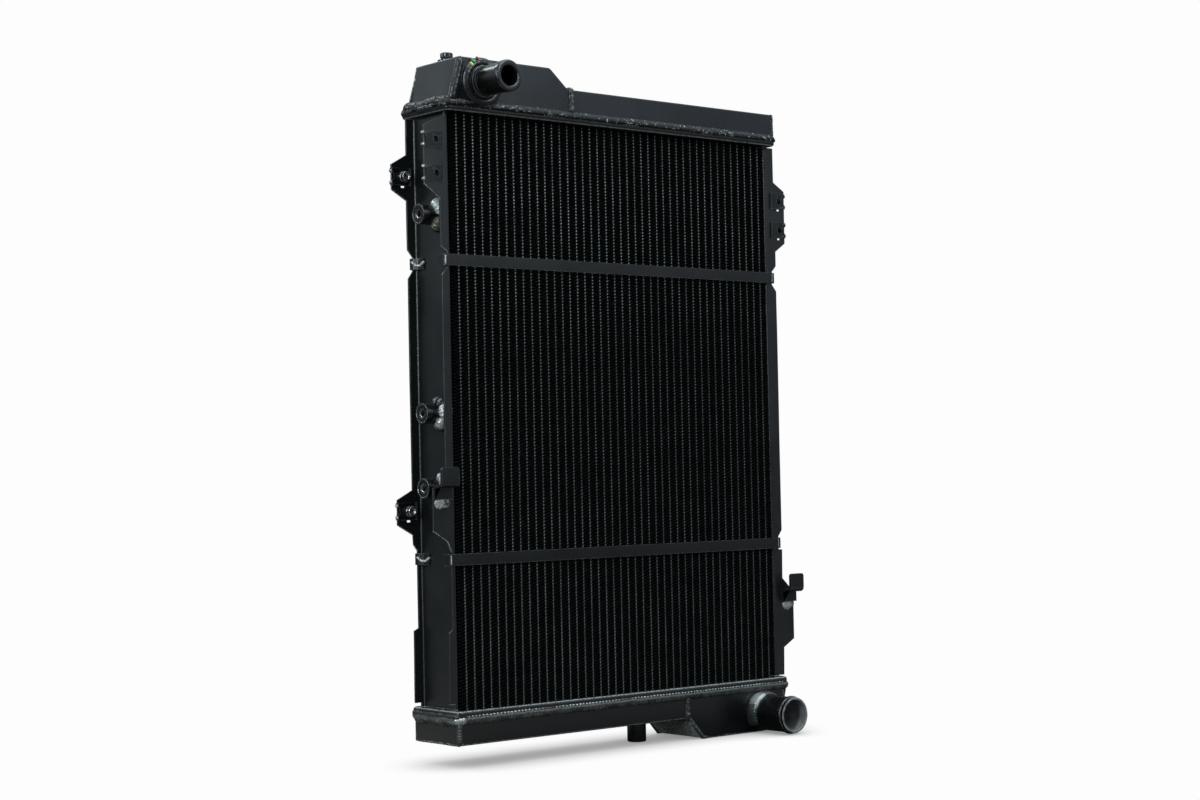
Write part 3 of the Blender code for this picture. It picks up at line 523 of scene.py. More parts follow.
def weld(name, path, width, height, seed, nodes=(), closed=False, pitch=2.3 * MM, ripple=0.42,
         lag=0.55, wander=0.25 * MM, fullness=0.5, bare_and_highlight=None, finish="weld", slot="tank_black", lumps=0.0):
    """Bead of filler metal along a path: overlapping coins with curved fronts and sharp valleys."""
    step = min(0.55 * MM, pitch / 4)
    point, normal, place, length = evenly(*path, step, closed)
    count = len(place)
    draw = np.random.default_rng(seed)
    coins = max(2, int(round(length / pitch)))
    coin_length = length / coins
    uneven = min(1.0, ripple / 0.35)
    wide = draw.normal(0, uneven, coins + 3)
    tall = draw.normal(0, uneven, coins + 3)
    if closed:
        wide[coins:] = wide[:3]
        tall[coins:] = tall[:3]
    sway = np.zeros(count)
    swell = np.zeros(count)
    for turn in (3, 7, 17, 31):
        phase = draw.uniform(0, math.tau, 2)
        beat = math.tau * turn * place / max(length, 0.2)
        sway += np.sin(beat + phase[0]) / 4
        swell += np.sin(beat * 1.7 + phase[1]) * 2 / turn
    ahead = np.roll(point, -1, axis=0)
    behind = np.roll(point, 1, axis=0)
    if not closed:
        ahead[-1] = point[-1]
        behind[0] = point[0]
    tangent = ahead - behind
    tangent /= np.linalg.norm(tangent, axis=1, keepdims=True)
    normal -= tangent * np.sum(normal * tangent, axis=1, keepdims=True)
    normal /= np.linalg.norm(normal, axis=1, keepdims=True)
    side = np.cross(tangent, normal)
    rows = 11
    u = np.linspace(-1, 1, rows)[None, :]
    phase = place[:, None] / coin_length - lag * (1 - u ** 2) + 1.0
    coin = np.floor(phase).astype(int) % (coins + 2)
    scallop = np.abs(np.sin(np.pi * phase)) ** (0.8 if ripple > 0.2 else 2.0)
    end = np.ones(count)
    if not closed:
        reach = 0.5 * width
        near = np.minimum(place, length - place)
        end = np.sqrt(np.clip(1 - (1 - np.clip(near / reach, 0, 1)) ** 2, 0.02, 1))
    dome = (1 - u ** 2) ** fullness
    sink = 0.9 * MM
    crown = height * (1 + 0.10 * tall[coin] + lumps * swell[:, None]) * (1 - ripple + ripple * scallop)
    rise = (crown * end[:, None] + sink) * dome - sink
    half = 0.5 * width * (1 + 0.05 * wide[coin] + 0.05 * uneven * (scallop - 0.5) + 0.3 * lumps * swell[:, None])
    reach_out = u * half * end[:, None] + wander * sway[:, None]
    top = point[:, None] + normal[:, None] * rise[..., None] + side[:, None] * reach_out[..., None]
    low_one = point - normal * (sink + 0.6 * MM) + side * reach_out[:, -1:] * 0.7
    low_two = point - normal * (sink + 0.6 * MM) + side * reach_out[:, :1] * 0.7
    section = np.concatenate([top, low_one[:, None], low_two[:, None]], axis=1)
    mesh = sweep_mesh(section, closed)
    crest = np.zeros((count, rows + 2))
    crest[:, :rows] = scallop * dome
    # Uncoated patches of the bead: bare filler on some beads, painted glints and highlight lines on others
    uncoated_and_glint = np.zeros((count, rows + 2))
    if bare_and_highlight is not None:
        uncoated_and_glint[:] = bare_and_highlight(section)
    for key, values in (("crest", crest), ("bare_and_highlight", uncoated_and_glint)):
        mesh.attributes.new(key, "FLOAT", "POINT").data.foreach_set("value", values.ravel())
    mesh.shade_smooth()
    return show(name, mesh, finish, nodes)


def all_over(strength):
    """The same bareness everywhere on a weld bead."""
    return lambda points: np.full(points.shape[:2], strength)


def patch_at(place, radius, strength=1.0):
    """Bareness that fades out from a place, for a weld bead."""
    centre = np.array(place, float)

    def bareness(points):
        distance = np.linalg.norm(points - centre, axis=-1)
        return strength * np.clip(1.4 - distance / radius, 0, 1)

    return bareness


def loop_path(half_x, half_y, corner, height, tilt, up):
    """Rounded rectangle round a tank: outward normals, tilted by an angle towards up or down."""
    points = []
    normals = []
    lift = math.sin(math.radians(tilt)) * up
    out = math.cos(math.radians(tilt))
    for turn, (sx, sy) in enumerate(((1, 1), (-1, 1), (-1, -1), (1, -1))):
        for step in range(9):
            angle = math.pi / 2 * (turn + step / 8)
            x = sx * (half_x - corner) + corner * math.cos(angle)
            y = sy * (half_y - corner) + corner * math.sin(angle)
            points.append((x, y, height))
            normals.append((out * math.cos(angle), out * math.sin(angle), lift))
    return points, normals


def ring_path(axis, place, radius, tilt, start=0.0, end=360.0, count=72):
    """Circle about an axis, or a part of one: normals lean outwards by the tilt from the axis."""
    across, up, along = axes_of(axis)
    direction = -1 if tilt < 0 else 1
    lean = math.radians(abs(tilt))
    points = []
    normals = []
    for k in range(count):
        angle = math.radians(start + (end - start) * k / (count if end - start == 360 else count - 1))
        radial = across * math.cos(angle) + up * math.sin(angle)
        points.append(Vector(place) + radial * radius)
        normals.append(radial * math.sin(lean) + along * (direction * math.cos(lean)))
    return points, normals


# Core

def make_core():
    """Flat tubes and corrugated fin strips."""
    middle = (TUBE_COUNT - 1) / 2
    tubes = [(k - middle) * TUBE_PITCH for k in range(TUBE_COUNT)]
    radius = TUBE_HALF_WIDTH
    straight = CORE_HALF_DEPTH - radius
    steps = 6
    outline = []
    for sign in (1, -1):
        for step in range(steps + 1):
            angle = math.pi * step / steps
            outline.append((sign * radius * math.cos(angle), sign * (straight + radius * math.sin(angle))))
    count = len(outline)
    points = []
    faces = []
    for place in tubes:
        base = len(points)
        for height in (-TUBE_END, TUBE_END):
            points += [(place + x, y, height) for x, y in outline]
        faces += [(base + k, base + (k + 1) % count, base + count + (k + 1) % count, base + count + k)
                  for k in range(count)]
        faces.append([base + k for k in range(count)])
        faces.append([base + count + k for k in reversed(range(count))])
    mesh = build_mesh("tubes", points, faces)
    mesh.shade_smooth()
    mesh.set_sharp_from_angle(angle=math.radians(40))
    show("core_tubes", mesh, "tube", ["core_matrix"])

    # One strip's path, up between two tubes: a leg, then a blunt crest, turn and turn about
    half_gap = TUBE_PITCH / 2 - TUBE_HALF_WIDTH - FIN_SHEET / 2
    legs = int(2 * FIN_HALF_HEIGHT / FIN_LEG_RISE)
    path = []
    for k in range(legs + 1):
        sign = 1 if k % 2 else -1
        height = -FIN_HALF_HEIGHT + k * FIN_LEG_RISE
        for drop, inset in ((-0.22 * MM, 0.22 * MM), (0.0, 0.0), (0.22 * MM, 0.22 * MM)):
            path.append((sign * (half_gap - inset), height + drop))
    path = np.array(path)
    run = np.diff(path, axis=0)
    run /= np.linalg.norm(run, axis=1, keepdims=True)
    before = np.vstack([run[:1], run])
    after = np.vstack([run, run[-1:]])
    side_before = np.stack([-before[:, 1], before[:, 0]], axis=1)
    side_after = np.stack([-after[:, 1], after[:, 0]], axis=1)
    mitre = side_before + side_after
    mitre /= np.sum(mitre ** 2, axis=1, keepdims=True) / 2
    draw = np.random.default_rng(41)
    depth = CORE_HALF_DEPTH - 0.35 * MM
    groups = 4
    gaps = [(k - TUBE_COUNT / 2) * TUBE_PITCH for k in range(TUBE_COUNT + 1)]
    for group in range(groups):
        sections = []
        for gap in gaps[group::groups]:
            # Each strip sits a little differently, as hand-stacked strips do
            shift = draw.uniform(-0.5, 0.5) * MM
            wobble = draw.normal(0, 0.07 * MM, len(path))
            line = path + np.stack([np.zeros(len(path)), wobble + shift], axis=1)
            strip = []
            for y in (-depth, depth):
                for sign in ((-1, 1) if y < 0 else (1, -1)):
                    edge = line + mitre * (sign * FIN_SHEET / 2)
                    strip.append(np.stack([edge[:, 0] + gap, np.full(len(path), y), edge[:, 1]], axis=1))
            sections.append(np.stack(strip, axis=1))
        show_fins(group, sections)


def show_fins(group, sections):
    """One piece of the strips in every fourth gap; each strip is swept with its four corners and capped."""
    points = np.concatenate([s.reshape(-1, 3) for s in sections])
    faces = []
    base = 0
    for section in sections:
        count = len(section)
        for k in range(count - 1):
            near = base + 4 * k
            faces += [(near + j, near + (j + 1) % 4, near + 4 + (j + 1) % 4, near + 4 + j) for j in range(4)]
        faces.append((base, base + 1, base + 2, base + 3))
        last = base + 4 * (count - 1)
        faces.append((last + 3, last + 2, last + 1, last))
        base += 4 * count
    mesh = bpy.data.meshes.new("fins")
    mesh.from_pydata(points.tolist(), [], faces)
    mesh.flip_normals()
    show(f"core_fins_{group}", mesh, "fin", ["core_matrix"])


# Headers

def make_header(name, side):
    """Deep-drawn pan with rounded bends; side is 1 for the upper one and -1 for the lower one."""
    half_x = HEADER_HIGH.x
    half_y = HEADER_HIGH.y
    face = HEADER_LOW.z
    bend = 3.0 * MM
    corner = 6.5 * MM

    def ring(inset, height):
        points, _ = loop_path(half_x - inset, half_y - inset, max(corner - inset, 0.5 * MM), 0.0, 0.0, 1)
        return [(x, y, side * height) for x, y, _ in points]

    edge = 0.3 * MM
    inner = 1.0 * MM
    rings = [ring(bend * inset, face + bend * rise) for inset, rise in quarter(6)]
    rings += [ring(0.0, RIM - edge), ring(edge, RIM), ring(SHEET - edge, RIM), ring(SHEET, RIM - edge)]
    rings += [ring(SHEET + inner * inset, face + SHEET + inner * rise) for rise, inset in quarter(3)]
    mesh = sweep_mesh(np.array(rings), False)
    # Painted highlight: a thin light line along the bend just above the pan's face, stronger on the lower header
    line = face + 0.7 * MM
    show(name, baked(mesh), "header", [name],
         bare_and_highlight=lambda corners: (0.38 - 0.06 * side) * (np.abs(np.abs(corners[:, 2]) - line) < 0.35 * MM))


# Tanks

def folded_shell(name, fold, ends, seat, inward, ports=(), finish="tank"):
    """Sheet folded over a tank: rounded bends, with the hollow and the ports taken out."""
    rounded = [tuple(p) for p in filleted(fold, 2.6 * MM, 5, closed=False)]
    outline = [(ends[0], seat)] + rounded + [(ends[1], seat)]
    solid = prism(outline, "Y", -TANK_HALF_DEPTH, TANK_HALF_DEPTH)
    reach = 0.02
    first = (fold[0][0] - reach, fold[0][1])
    last = (fold[-1][0] + reach, fold[-1][1])
    inner = offset_path([first] + list(fold[1:-1]) + [last], inward * TANK_SHEET)
    past = seat - math.copysign(0.005, fold[0][1])
    hollow = [(first[0], past)] + [tuple(p) for p in inner] + [(last[0], past)]
    depth = TANK_HALF_DEPTH - TANK_SHEET
    cutters = [prism(hollow, "Y", -depth, depth)] + list(ports)
    mesh = baked(solid, bevel=1.8 * MM, steps=4, cutters=cutters)

    def fold_highlight(corners):
        """Painted highlight along the lower tank's folded front and rear edges, strongest on the sump."""
        inset = TANK_HALF_DEPTH - np.abs(corners[:, 1])
        return np.where(corners[:, 0] > SUMP_LOW.x, 0.75, 0.35) * (inset > 0.1 * MM) * (inset < 1.7 * MM)

    show(name, mesh, finish, [name], bare_and_highlight=fold_highlight if finish == "lower" else None)


def end_plate(name, foot, head, finish):
    """Flat tank end between its foot at the header and its head, both as outer X and Z."""
    inward = -math.copysign(TANK_SHEET, foot[0])
    outline = [foot, head, (head[0] + inward, head[1]), (foot[0] + inward, foot[1])]
    mesh = baked(prism(outline, "Y", -TANK_HALF_DEPTH, TANK_HALF_DEPTH), bevel=0.8 * MM, steps=3)
    show(name, mesh, finish, [name])


INLET_LOW, INLET_HIGH = span("inlet_neck")
OUTLET_LOW, OUTLET_HIGH = span("outlet_neck")
BLEED_LOW, BLEED_HIGH = span("bleed_boss")
INLET = Vector(((INLET_LOW.x + INLET_HIGH.x) / 2, -TANK_HALF_DEPTH, (INLET_LOW.z + INLET_HIGH.z) / 2))
OUTLET = Vector(((OUTLET_LOW.x + OUTLET_HIGH.x) / 2, -TANK_HALF_DEPTH, (OUTLET_LOW.z + OUTLET_HIGH.z) / 2))
BLEED = Vector(((BLEED_LOW.x + BLEED_HIGH.x) / 2, (BLEED_LOW.y + BLEED_HIGH.y) / 2, BLEED_LOW.z))
INLET_BORE = 10.0 * MM
OUTLET_BORE = 16.5 * MM


def make_tanks():
    """Folded shells and end plates of both tanks, with the ports cut into them."""
    tall_fold = [
        (TALL_LOW.x + 12.5 * MM, TALL_HIGH.z), (SLOPE_TOP_X, TALL_HIGH.z),
        (SLOPE_FOOT_X, SHALLOW_HIGH.z), (TALL_HIGH.x, SHALLOW_HIGH.z),
    ]
    ports = [disc("Y", INLET, INLET_BORE, 6 * MM), disc("Z", BLEED, 4.0 * MM, 6 * MM)]
    folded_shell("upper_tall_shell", tall_fold, (TALL_LOW.x, TALL_HIGH.x), TANK_SEAT, -1, ports)
    shallow_fold = [(SHALLOW_LOW.x, SHALLOW_HIGH.z), (SHALLOW_HIGH.x, SHALLOW_HIGH.z)]
    ends = (SHALLOW_LOW.x, SHALLOW_HIGH.x)
    folded_shell("upper_low_shell", shallow_fold, ends, TANK_SEAT, -1)
    end_plate("upper_left_end_plate", (LEFT_PLATE_LOW.x, TANK_SEAT), (LEFT_HEAD_X, TALL_HIGH.z), "plate")
    right = RIGHT_PLATE_HIGH.x
    end_plate("upper_right_end_plate", (right, TANK_SEAT), (right, SHALLOW_HIGH.z), "plate")

    main_fold = [(MAIN_LOW.x, MAIN_LOW.z), (MAIN_HIGH.x, MAIN_LOW.z)]
    folded_shell("lower_main_shell", main_fold, (MAIN_LOW.x, MAIN_HIGH.x), -TANK_SEAT, 1, (), "lower")
    sump_foot = LOW_RIGHT_PLATE_LOW.x
    sump_fold = [
        (SUMP_LOW.x, MAIN_LOW.z), (SUMP_LOW.x + 0.5 * MM, MAIN_LOW.z),
        (SUMP_SLOPE_FOOT_X, SUMP_LOW.z), (sump_foot, SUMP_LOW.z),
    ]
    ports = [disc("Y", OUTLET, OUTLET_BORE, 6 * MM)]
    folded_shell("lower_sump_shell", sump_fold, (SUMP_LOW.x, SUMP_HIGH.x), -TANK_SEAT, 1, ports, "lower")
    left = LOW_LEFT_PLATE_LOW.x
    end_plate("lower_left_end_plate", (left, -TANK_SEAT), (left, MAIN_LOW.z), "lower")
    head = (LOW_RIGHT_PLATE_LOW.x + TANK_SHEET, SUMP_LOW.z)
    end_plate("lower_right_end_plate", (LOW_RIGHT_PLATE_HIGH.x, -TANK_SEAT), head, "lower")


def make_tank_welds():
    """Beads round both headers, down the tank seams and along the end plates."""
    depth = TANK_HALF_DEPTH
    rim = RIM + 1.3 * MM
    outer = (HEADER_HIGH.x - 1.2 * MM, HEADER_HIGH.y - 1.2 * MM)
    bold = {"closed": True, "pitch": 1.9 * MM, "ripple": 0.70, "lag": 0.80, "lumps": 0.12}
    weld("weld_upper_header", loop_path(*outer, 6 * MM, rim, 38, 1), 10.4 * MM, 1.5 * MM, 1,
         bare_and_highlight=all_over(0.28), **bold)
    # The lower header's bead takes the pale weld tone, painted light from the bright floor below, and a painted
    # highlight patch at its front left corner
    corner = patch_at((-outer[0] + 3 * MM, -outer[1] + MM, -rim), 6 * MM, 0.9)
    weld("weld_lower_header", loop_path(*outer, 6 * MM, -rim - 0.6 * MM, 38, -1), 8.6 * MM, 2.4 * MM, 2,
         finish="pale", bare_and_highlight=corner, **bold)
    # Where the filler meets the header rims, its toe is a fine row of bright points: painted glints, brighter on the
    # lower header
    for place, side, seed in (("upper", 1, 15), ("lower", -1, 16)):
        toe = side * (HEADER_LOW.z + 5.6 * MM)
        y = -HEADER_HIGH.y - 0.1 * MM
        run = ([(-0.214, y, toe), (0.216, y, toe)], [(0, -1, 0.3 * side)] * 2)
        weld(f"weld_{place}_toe", run, 1.8 * MM, 0.8 * MM, seed, pitch=2.6 * MM, ripple=0.9, lumps=0.5,
             bare_and_highlight=lambda points: (np.sin(points[..., 0] * 1450) > 0.1)
             * (0.45 + 0.25 * np.sin(points[..., 0] * 61 + side) - 0.20 * side), finish="silver")

    smooth = {"pitch": 6.0 * MM, "ripple": 0.012, "wander": 0.2 * MM, "lumps": 0.12, "finish": "fillet"}
    # The slim beads' uncoated patches are a painted highlight line along the end plates' heads and rear edges
    slim = {"pitch": 3.0 * MM, "ripple": 0.10, "wander": 0.15 * MM, "lumps": 0.15, "finish": "grey",
            "bare_and_highlight": all_over(0.36)}

    def frame_weld(name, foot, head, seed, width, height, kind):
        """Fillet up the front corner of an end plate, then a slim bead over its head and down the rear."""
        out = math.copysign(1, foot[0])
        rise = math.copysign(1, head[1])
        inset = 0.9 * MM
        front = -depth + inset
        below = head[1] - rise * 1.6 * MM
        points = [(foot[0] - out * inset, front, foot[1]), (head[0] - out * inset, front, below)]
        weld(name + "_front", (points, [(out, -1, 0.15 * rise)] * 2), width, height, seed, **kind)
        top = head[1] - rise * 0.5 * MM
        points = [
            (head[0] - out * inset, front, top), (head[0] - out * inset, -front, top),
            (head[0] - out * inset, -front, top - rise * 0.5 * MM), (foot[0] - out * inset, -front, foot[1]),
        ]
        normals = [(out, 0, rise), (out, 0.2, rise), (out, 1, 0.2 * rise), (out, 1, 0.15 * rise)]
        weld(name + "_head", (points, normals), 3.4 * MM, 0.8 * MM, seed + 60, **slim)

    foot = (LEFT_PLATE_LOW.x, RIM + 2 * MM)
    frame_weld("weld_upper_left", foot, (LEFT_HEAD_X, TALL_HIGH.z), 3, 9.6 * MM, 3.6 * MM, smooth)
    right = RIGHT_PLATE_HIGH.x
    frame_weld("weld_upper_right", (right, RIM + 2 * MM), (right, SHALLOW_HIGH.z), 4, 5.0 * MM, 1.3 * MM, smooth)
    left = LOW_LEFT_PLATE_LOW.x
    ribbed = {**smooth, "finish": "grey", "pitch": 2.6 * MM, "ripple": 0.10}
    frame_weld("weld_lower_left", (left, -RIM - 2 * MM), (left, MAIN_LOW.z), 5, 6.2 * MM, 1.8 * MM, ribbed)
    foot = (LOW_RIGHT_PLATE_HIGH.x, -RIM - 2 * MM)
    head = (LOW_RIGHT_PLATE_LOW.x + TANK_SHEET, SUMP_LOW.z)
    frame_weld("weld_lower_right", foot, head, 6, 5.4 * MM, 1.4 * MM, smooth)

    def seam(name, x, bottom, top, seed):
        """Bead across a tank where its two shells meet: front, fold side and rear."""
        rise = math.copysign(1, top)
        inset = 0.6 * MM
        points = [
            (x, -depth, bottom), (x, -depth, top - rise * 2.4 * MM), (x, -depth + inset, top - rise * inset),
            (x, -depth + 2.4 * MM, top), (x, depth - 2.4 * MM, top), (x, depth - inset, top - rise * inset),
            (x, depth, top - rise * 2.4 * MM), (x, depth, bottom),
        ]
        normals = [
            (0, -1, 0), (0, -1, 0), (0, -1, rise), (0, 0, rise), (0, 0, rise), (0, 1, rise), (0, 1, 0), (0, 1, 0),
        ]
        weld(name, (points, normals), 7.6 * MM, 2.6 * MM, seed, **{**smooth, "finish": "grey", "ripple": 0.04})

    seam("weld_upper_seam", TALL_HIGH.x, RIM + 2 * MM, SHALLOW_HIGH.z, 7)
    seam("weld_lower_seam", SUMP_LOW.x, -RIM - 2 * MM, MAIN_LOW.z, 8)

    # The sump's slope and foot are welded to its front and rear; the beads' pale tone and uncoated patches are a
    # painted highlight line along those edges
    for place, way in (("front", -1), ("rear", 1)):
        y = way * (depth - 0.7 * MM)
        points = [
            (SUMP_LOW.x - 2 * MM, y, MAIN_LOW.z + MM), (SUMP_LOW.x + 4 * MM, y, MAIN_LOW.z - MM),
            (SUMP_SLOPE_FOOT_X, y, SUMP_LOW.z + 0.6 * MM), (SUMP_SLOPE_FOOT_X + 6 * MM, y, SUMP_LOW.z + 0.6 * MM),
        ]
        normals = [(-0.3, way, -0.5)] * 3 + [(0, way, -0.6)]
        kind = {**smooth, "finish": "pale", "bare_and_highlight": all_over(0.22)}
        weld(f"weld_sump_slope_{place}", (points, normals), 4.6 * MM, 1.3 * MM, 17, **kind)
        z = SUMP_LOW.z + 0.6 * MM
        points = [(SUMP_SLOPE_FOOT_X + 3 * MM, y, z), (LOW_RIGHT_PLATE_LOW.x, y, z)]
        weld(f"weld_sump_foot_{place}", (points, [(0, way, -0.6)] * 2), 2.4 * MM, 0.8 * MM, 18, **kind)

    # The left ends of the headers carry a second, smooth and lumpy pass over the first
    lumps = {"pitch": 8.0 * MM, "ripple": 0.03, "wander": 0.5 * MM, "lumps": 0.35, "finish": "fillet"}
    y = HEADER_HIGH.y - 3 * MM
    x = HEADER_LOW.x
    for place, side, width in (("upper", 1, 7.0), ("lower", -1, 6.0)):
        z = side * (HEADER_LOW.z + 5.6 * MM)
        points = [(x + 3.0 * MM, -y - 2 * MM, z), (x + 0.4 * MM, -y + 2 * MM, z), (x + 0.4 * MM, y, z)]
        normals = [(-1, -1, -0.2 * side), (-1, 0, -0.2 * side), (-1, 0, -0.2 * side)]
        weld(f"weld_{place}_lumps", (points, normals), width * MM, 1.9 * MM, 9 + side, **lumps)
        z = side * (RIM + 3.4 * MM)
        points = [(x + 5.5 * MM, -y - 1.0 * MM, z), (x + 3.6 * MM, -y + 3 * MM, z), (x + 3.6 * MM, y, z)]
        normals = [(-1, -1, 0.7 * side), (-1, 0, 0.7 * side), (-1, 0, 0.7 * side)]
        weld(f"weld_{place}_cap", (points, normals), 10.5 * MM, 3.4 * MM, 12 + side, **lumps)


# Fittings

def make_inlet():
    """Thick-walled neck: ridges and a ring at the root, a collar and a rounded annulus at the mouth."""
    length = -TANK_HALF_DEPTH - INLET_LOW.y
    outside = 15.0 * MM
    collar = 15.8 * MM
    profile = [
        (INLET_BORE, 0.0), (16.0 * MM, 0.0), (16.0 * MM, -2.2 * MM), (15.6 * MM, -2.6 * MM),
        (14.2 * MM, -3.0 * MM), (14.2 * MM, -4.0 * MM), (15.6 * MM, -4.4 * MM), (16.0 * MM, -4.8 * MM),
        (16.0 * MM, -5.7 * MM), (15.7 * MM, -6.0 * MM), (12.9 * MM, -6.2 * MM), (12.8 * MM, -9.0 * MM),
        (14.7 * MM, -9.2 * MM), (outside, -9.6 * MM),
    ]
    profile += [(outside, -length + 7.6 * MM), (outside + 0.2 * MM, -length + 7.0 * MM)]
    for step, (inset, _) in enumerate(quarter(5)):
        profile.append((collar - 0.6 * MM * inset, -length + (6.4 - 0.6 * step / 5) * MM))
    profile += rim_of(collar, -length, -2.2 * MM, 7, 0)
    inner = 1.4 * MM
    profile += [(INLET_BORE + inner * inset, -length + inner * drop) for inset, drop in quarter(5)]
    mesh = baked(turned(profile, "Y", INLET, 112))
    show("inlet_neck", mesh, "fitting", ["inlet_neck"])
    ring = o_ring(14.1 * MM, -7.6 * MM, 1.25 * MM, 16)
    show("inlet_o_ring", baked(turned(ring, "Y", INLET, 96)), "rubber", ["inlet_o_ring"])
    ring = ring_path("Y", INLET + Vector((0, 0.5 * MM, 0)), 20.0 * MM, -24)
    weld("weld_inlet", ring, 10.5 * MM, 4.2 * MM, 11, closed=True, pitch=4.6 * MM, ripple=0.012, lumps=0.10,
         finish="fillet")


def make_paint_dabs():
    """Assembly marks brushed on the inlet's collar weld."""
    out = Vector((-0.55, -0.72, 0.42)).normalized()
    for key, x, y, z, size in (
        ("green", -191.0, -41.0, 343.0, 5.4),
        ("yellow", -193.2, -41.2, 339.2, 5.0),
        ("red", -186.0, -40.5, 346.0, 3.6),
    ):
        middle = Vector((x, y, z)) * MM
        along = Vector((0.75, -0.15, -0.62)).normalized() * (0.5 * size * MM)
        path = ([middle - along, middle, middle + along], [out] * 3)
        weld("paint_" + key, path, 2.9 * MM, 0.5 * MM, 50, pitch=2.0 * MM, ripple=0.1, finish=key)


def make_outlet():
    """Thin-walled neck with a rolled bead."""
    length = -TANK_HALF_DEPTH - OUTLET_LOW.y
    outside = 19.0 * MM
    bead = 20.2 * MM
    profile = [(OUTLET_BORE, 0.0), (outside, 0.0), (outside, -length + 9.6 * MM)]
    for step in range(13):
        angle = math.pi * step / 12
        profile.append((
            outside + (bead - outside) * math.sin(angle) ** 1.3,
            -length + (6.7 + 2.4 * math.cos(angle)) * MM,
        ))
    profile += [
        (outside, -length + 3.6 * MM), (outside, -length + 1.0 * MM), (outside - 0.3 * MM, -length + 0.3 * MM),
        (outside - 0.9 * MM, -length), (OUTLET_BORE + 0.6 * MM, -length), (OUTLET_BORE, -length + 0.6 * MM),
    ]
    mesh = baked(turned(profile, "Y", OUTLET, 128))
    mouth = OUTLET_LOW.y + 0.8 * MM
    show("outlet_neck", mesh, "outlet", ["outlet_neck"],
         bare_and_highlight=lambda corners: 0.30 * (corners[:, 1] < mouth))
    radius = OUTLET_BORE - 0.15 * MM
    back = OUTLET_BORE + 0.3 * MM
    lining = [(radius, -0.3 * MM), (back, -0.3 * MM), (back, -length + 0.9 * MM), (radius, -length + 0.9 * MM)]
    show("outlet_bore", baked(turned(lining, "Y", OUTLET, 96)), "bore", ["outlet_neck"])
    worn = patch_at(OUTLET + Vector((-0.014, -0.008, 0.016)), 11 * MM, 1.0)

    def streaks(points):
        """Brushed across the bead, so the bare patch is streaked."""
        away = points - np.array(OUTLET)
        angle = np.arctan2(away[..., 2], away[..., 0])
        return worn(points) * (0.72 + 0.28 * np.sin(angle * 70))

    ring = ring_path("Y", OUTLET + Vector((0, 0.6 * MM, 0)), 18.9 * MM, -6, -44, 224)
    weld("weld_outlet", ring, 10.6 * MM, 12.0 * MM, 12, pitch=2.8 * MM, ripple=0.02, lumps=0.05, bare_and_highlight=streaks,
         finish="grey", fullness=0.75)


def make_bleed_screw():
    """Boss with its bead, a ring that rises with the screw, and a plug with a hexagon socket."""
    height = BLEED_HIGH.z - BLEED_LOW.z
    outer = BLEED_HIGH.x - BLEED.x
    chamfer = 0.8 * MM
    profile = [
        (4.0 * MM, 0.0), (outer, 0.0), (outer, height - chamfer), (outer - 0.25 * MM, height - 0.25 * MM),
        (outer - chamfer, height), (4.6 * MM, height), (4.0 * MM, height - 0.6 * MM),
    ]
    show("bleed_boss", baked(turned(profile, "Z", BLEED, 72)), "fitting", ["bleed_boss"])
    ring = ring_path("Z", BLEED - Vector((0, 0, 0.4 * MM)), outer + 1.2 * MM, 40)
    weld("weld_bleed", ring, 4.6 * MM, 1.6 * MM, 13, closed=True, ripple=0.30)
    seal_low, seal_high = span("bleed_seal")
    centre = (seal_low + seal_high) / 2
    section = (seal_high.z - seal_low.z) / 2
    major = (seal_high.x - seal_low.x) / 2 - section
    ring = o_ring(major, 0.0, section, 14)
    show("bleed_seal", baked(turned(ring, "Z", centre, 64)), "rubber", ["bleed_seal"], "bleed_ring")

    plug_low, plug_high = span("bleed_plug")
    axis = Vector((BLEED.x, BLEED.y, 0))
    top = plug_high.z
    head = (plug_high.x - plug_low.x) / 2
    under = seal_high.z + 0.3 * MM
    shank = 3.6 * MM
    profile = [(0, plug_low.z), (shank - 0.6 * MM, plug_low.z), (shank, plug_low.z + 0.6 * MM)]
    pitch = 1.5 * MM
    turns = int((under - plug_low.z - 1.6 * MM) / pitch)
    root = shank - 0.5 * MM
    for turn in range(turns):
        base = plug_low.z + 0.8 * MM + turn * pitch
        profile += [(shank, base), (root, base + pitch * 0.35), (shank, base + pitch * 0.7)]
    profile += [(shank, under), (head - 0.3 * MM, under), (head, under + 0.3 * MM), (head, top - 1.2 * MM)]
    profile += rim_of(head, top, 1.2 * MM) + [(3.4 * MM, top), (0, top)]
    hexagon = [(BLEED.x + 2.9 * MM * math.cos(math.tau * k / 6), BLEED.y + 2.9 * MM * math.sin(math.tau * k / 6))
               for k in range(6)]
    socket = prism(hexagon, "Z", top - 3.0 * MM, top + 2 * MM)
    mesh = baked(turned(profile, "Z", axis, 72), cutters=[socket])
    show("bleed_plug", mesh, "fitting", ["bleed_plug"], "bleed_screw")


def make_locating_pin():
    """Pin under the lower tank, with a rounded and dished end."""
    low, high = span("locating_pin")
    radius = (high.x - low.x) / 2
    axis = Vector(((low.x + high.x) / 2, 0, 0))
    profile = [(0, high.z), (radius, high.z), (radius, low.z + 1.6 * MM)]
    profile += rim_of(radius, low.z, -1.6 * MM) + [(3.0 * MM, low.z), (2.2 * MM, low.z + 0.9 * MM), (0, low.z + 1.6 * MM)]
    show("locating_pin", baked(turned(profile, "Z", axis, 72)), "fitting", ["locating_pin"])
    place = Vector((axis.x, 0, high.z))
    weld("weld_pin", ring_path("Z", place, radius + 1.3 * MM, -40), 4.6 * MM, 1.6 * MM, 14, closed=True, ripple=0.3)


# Sides

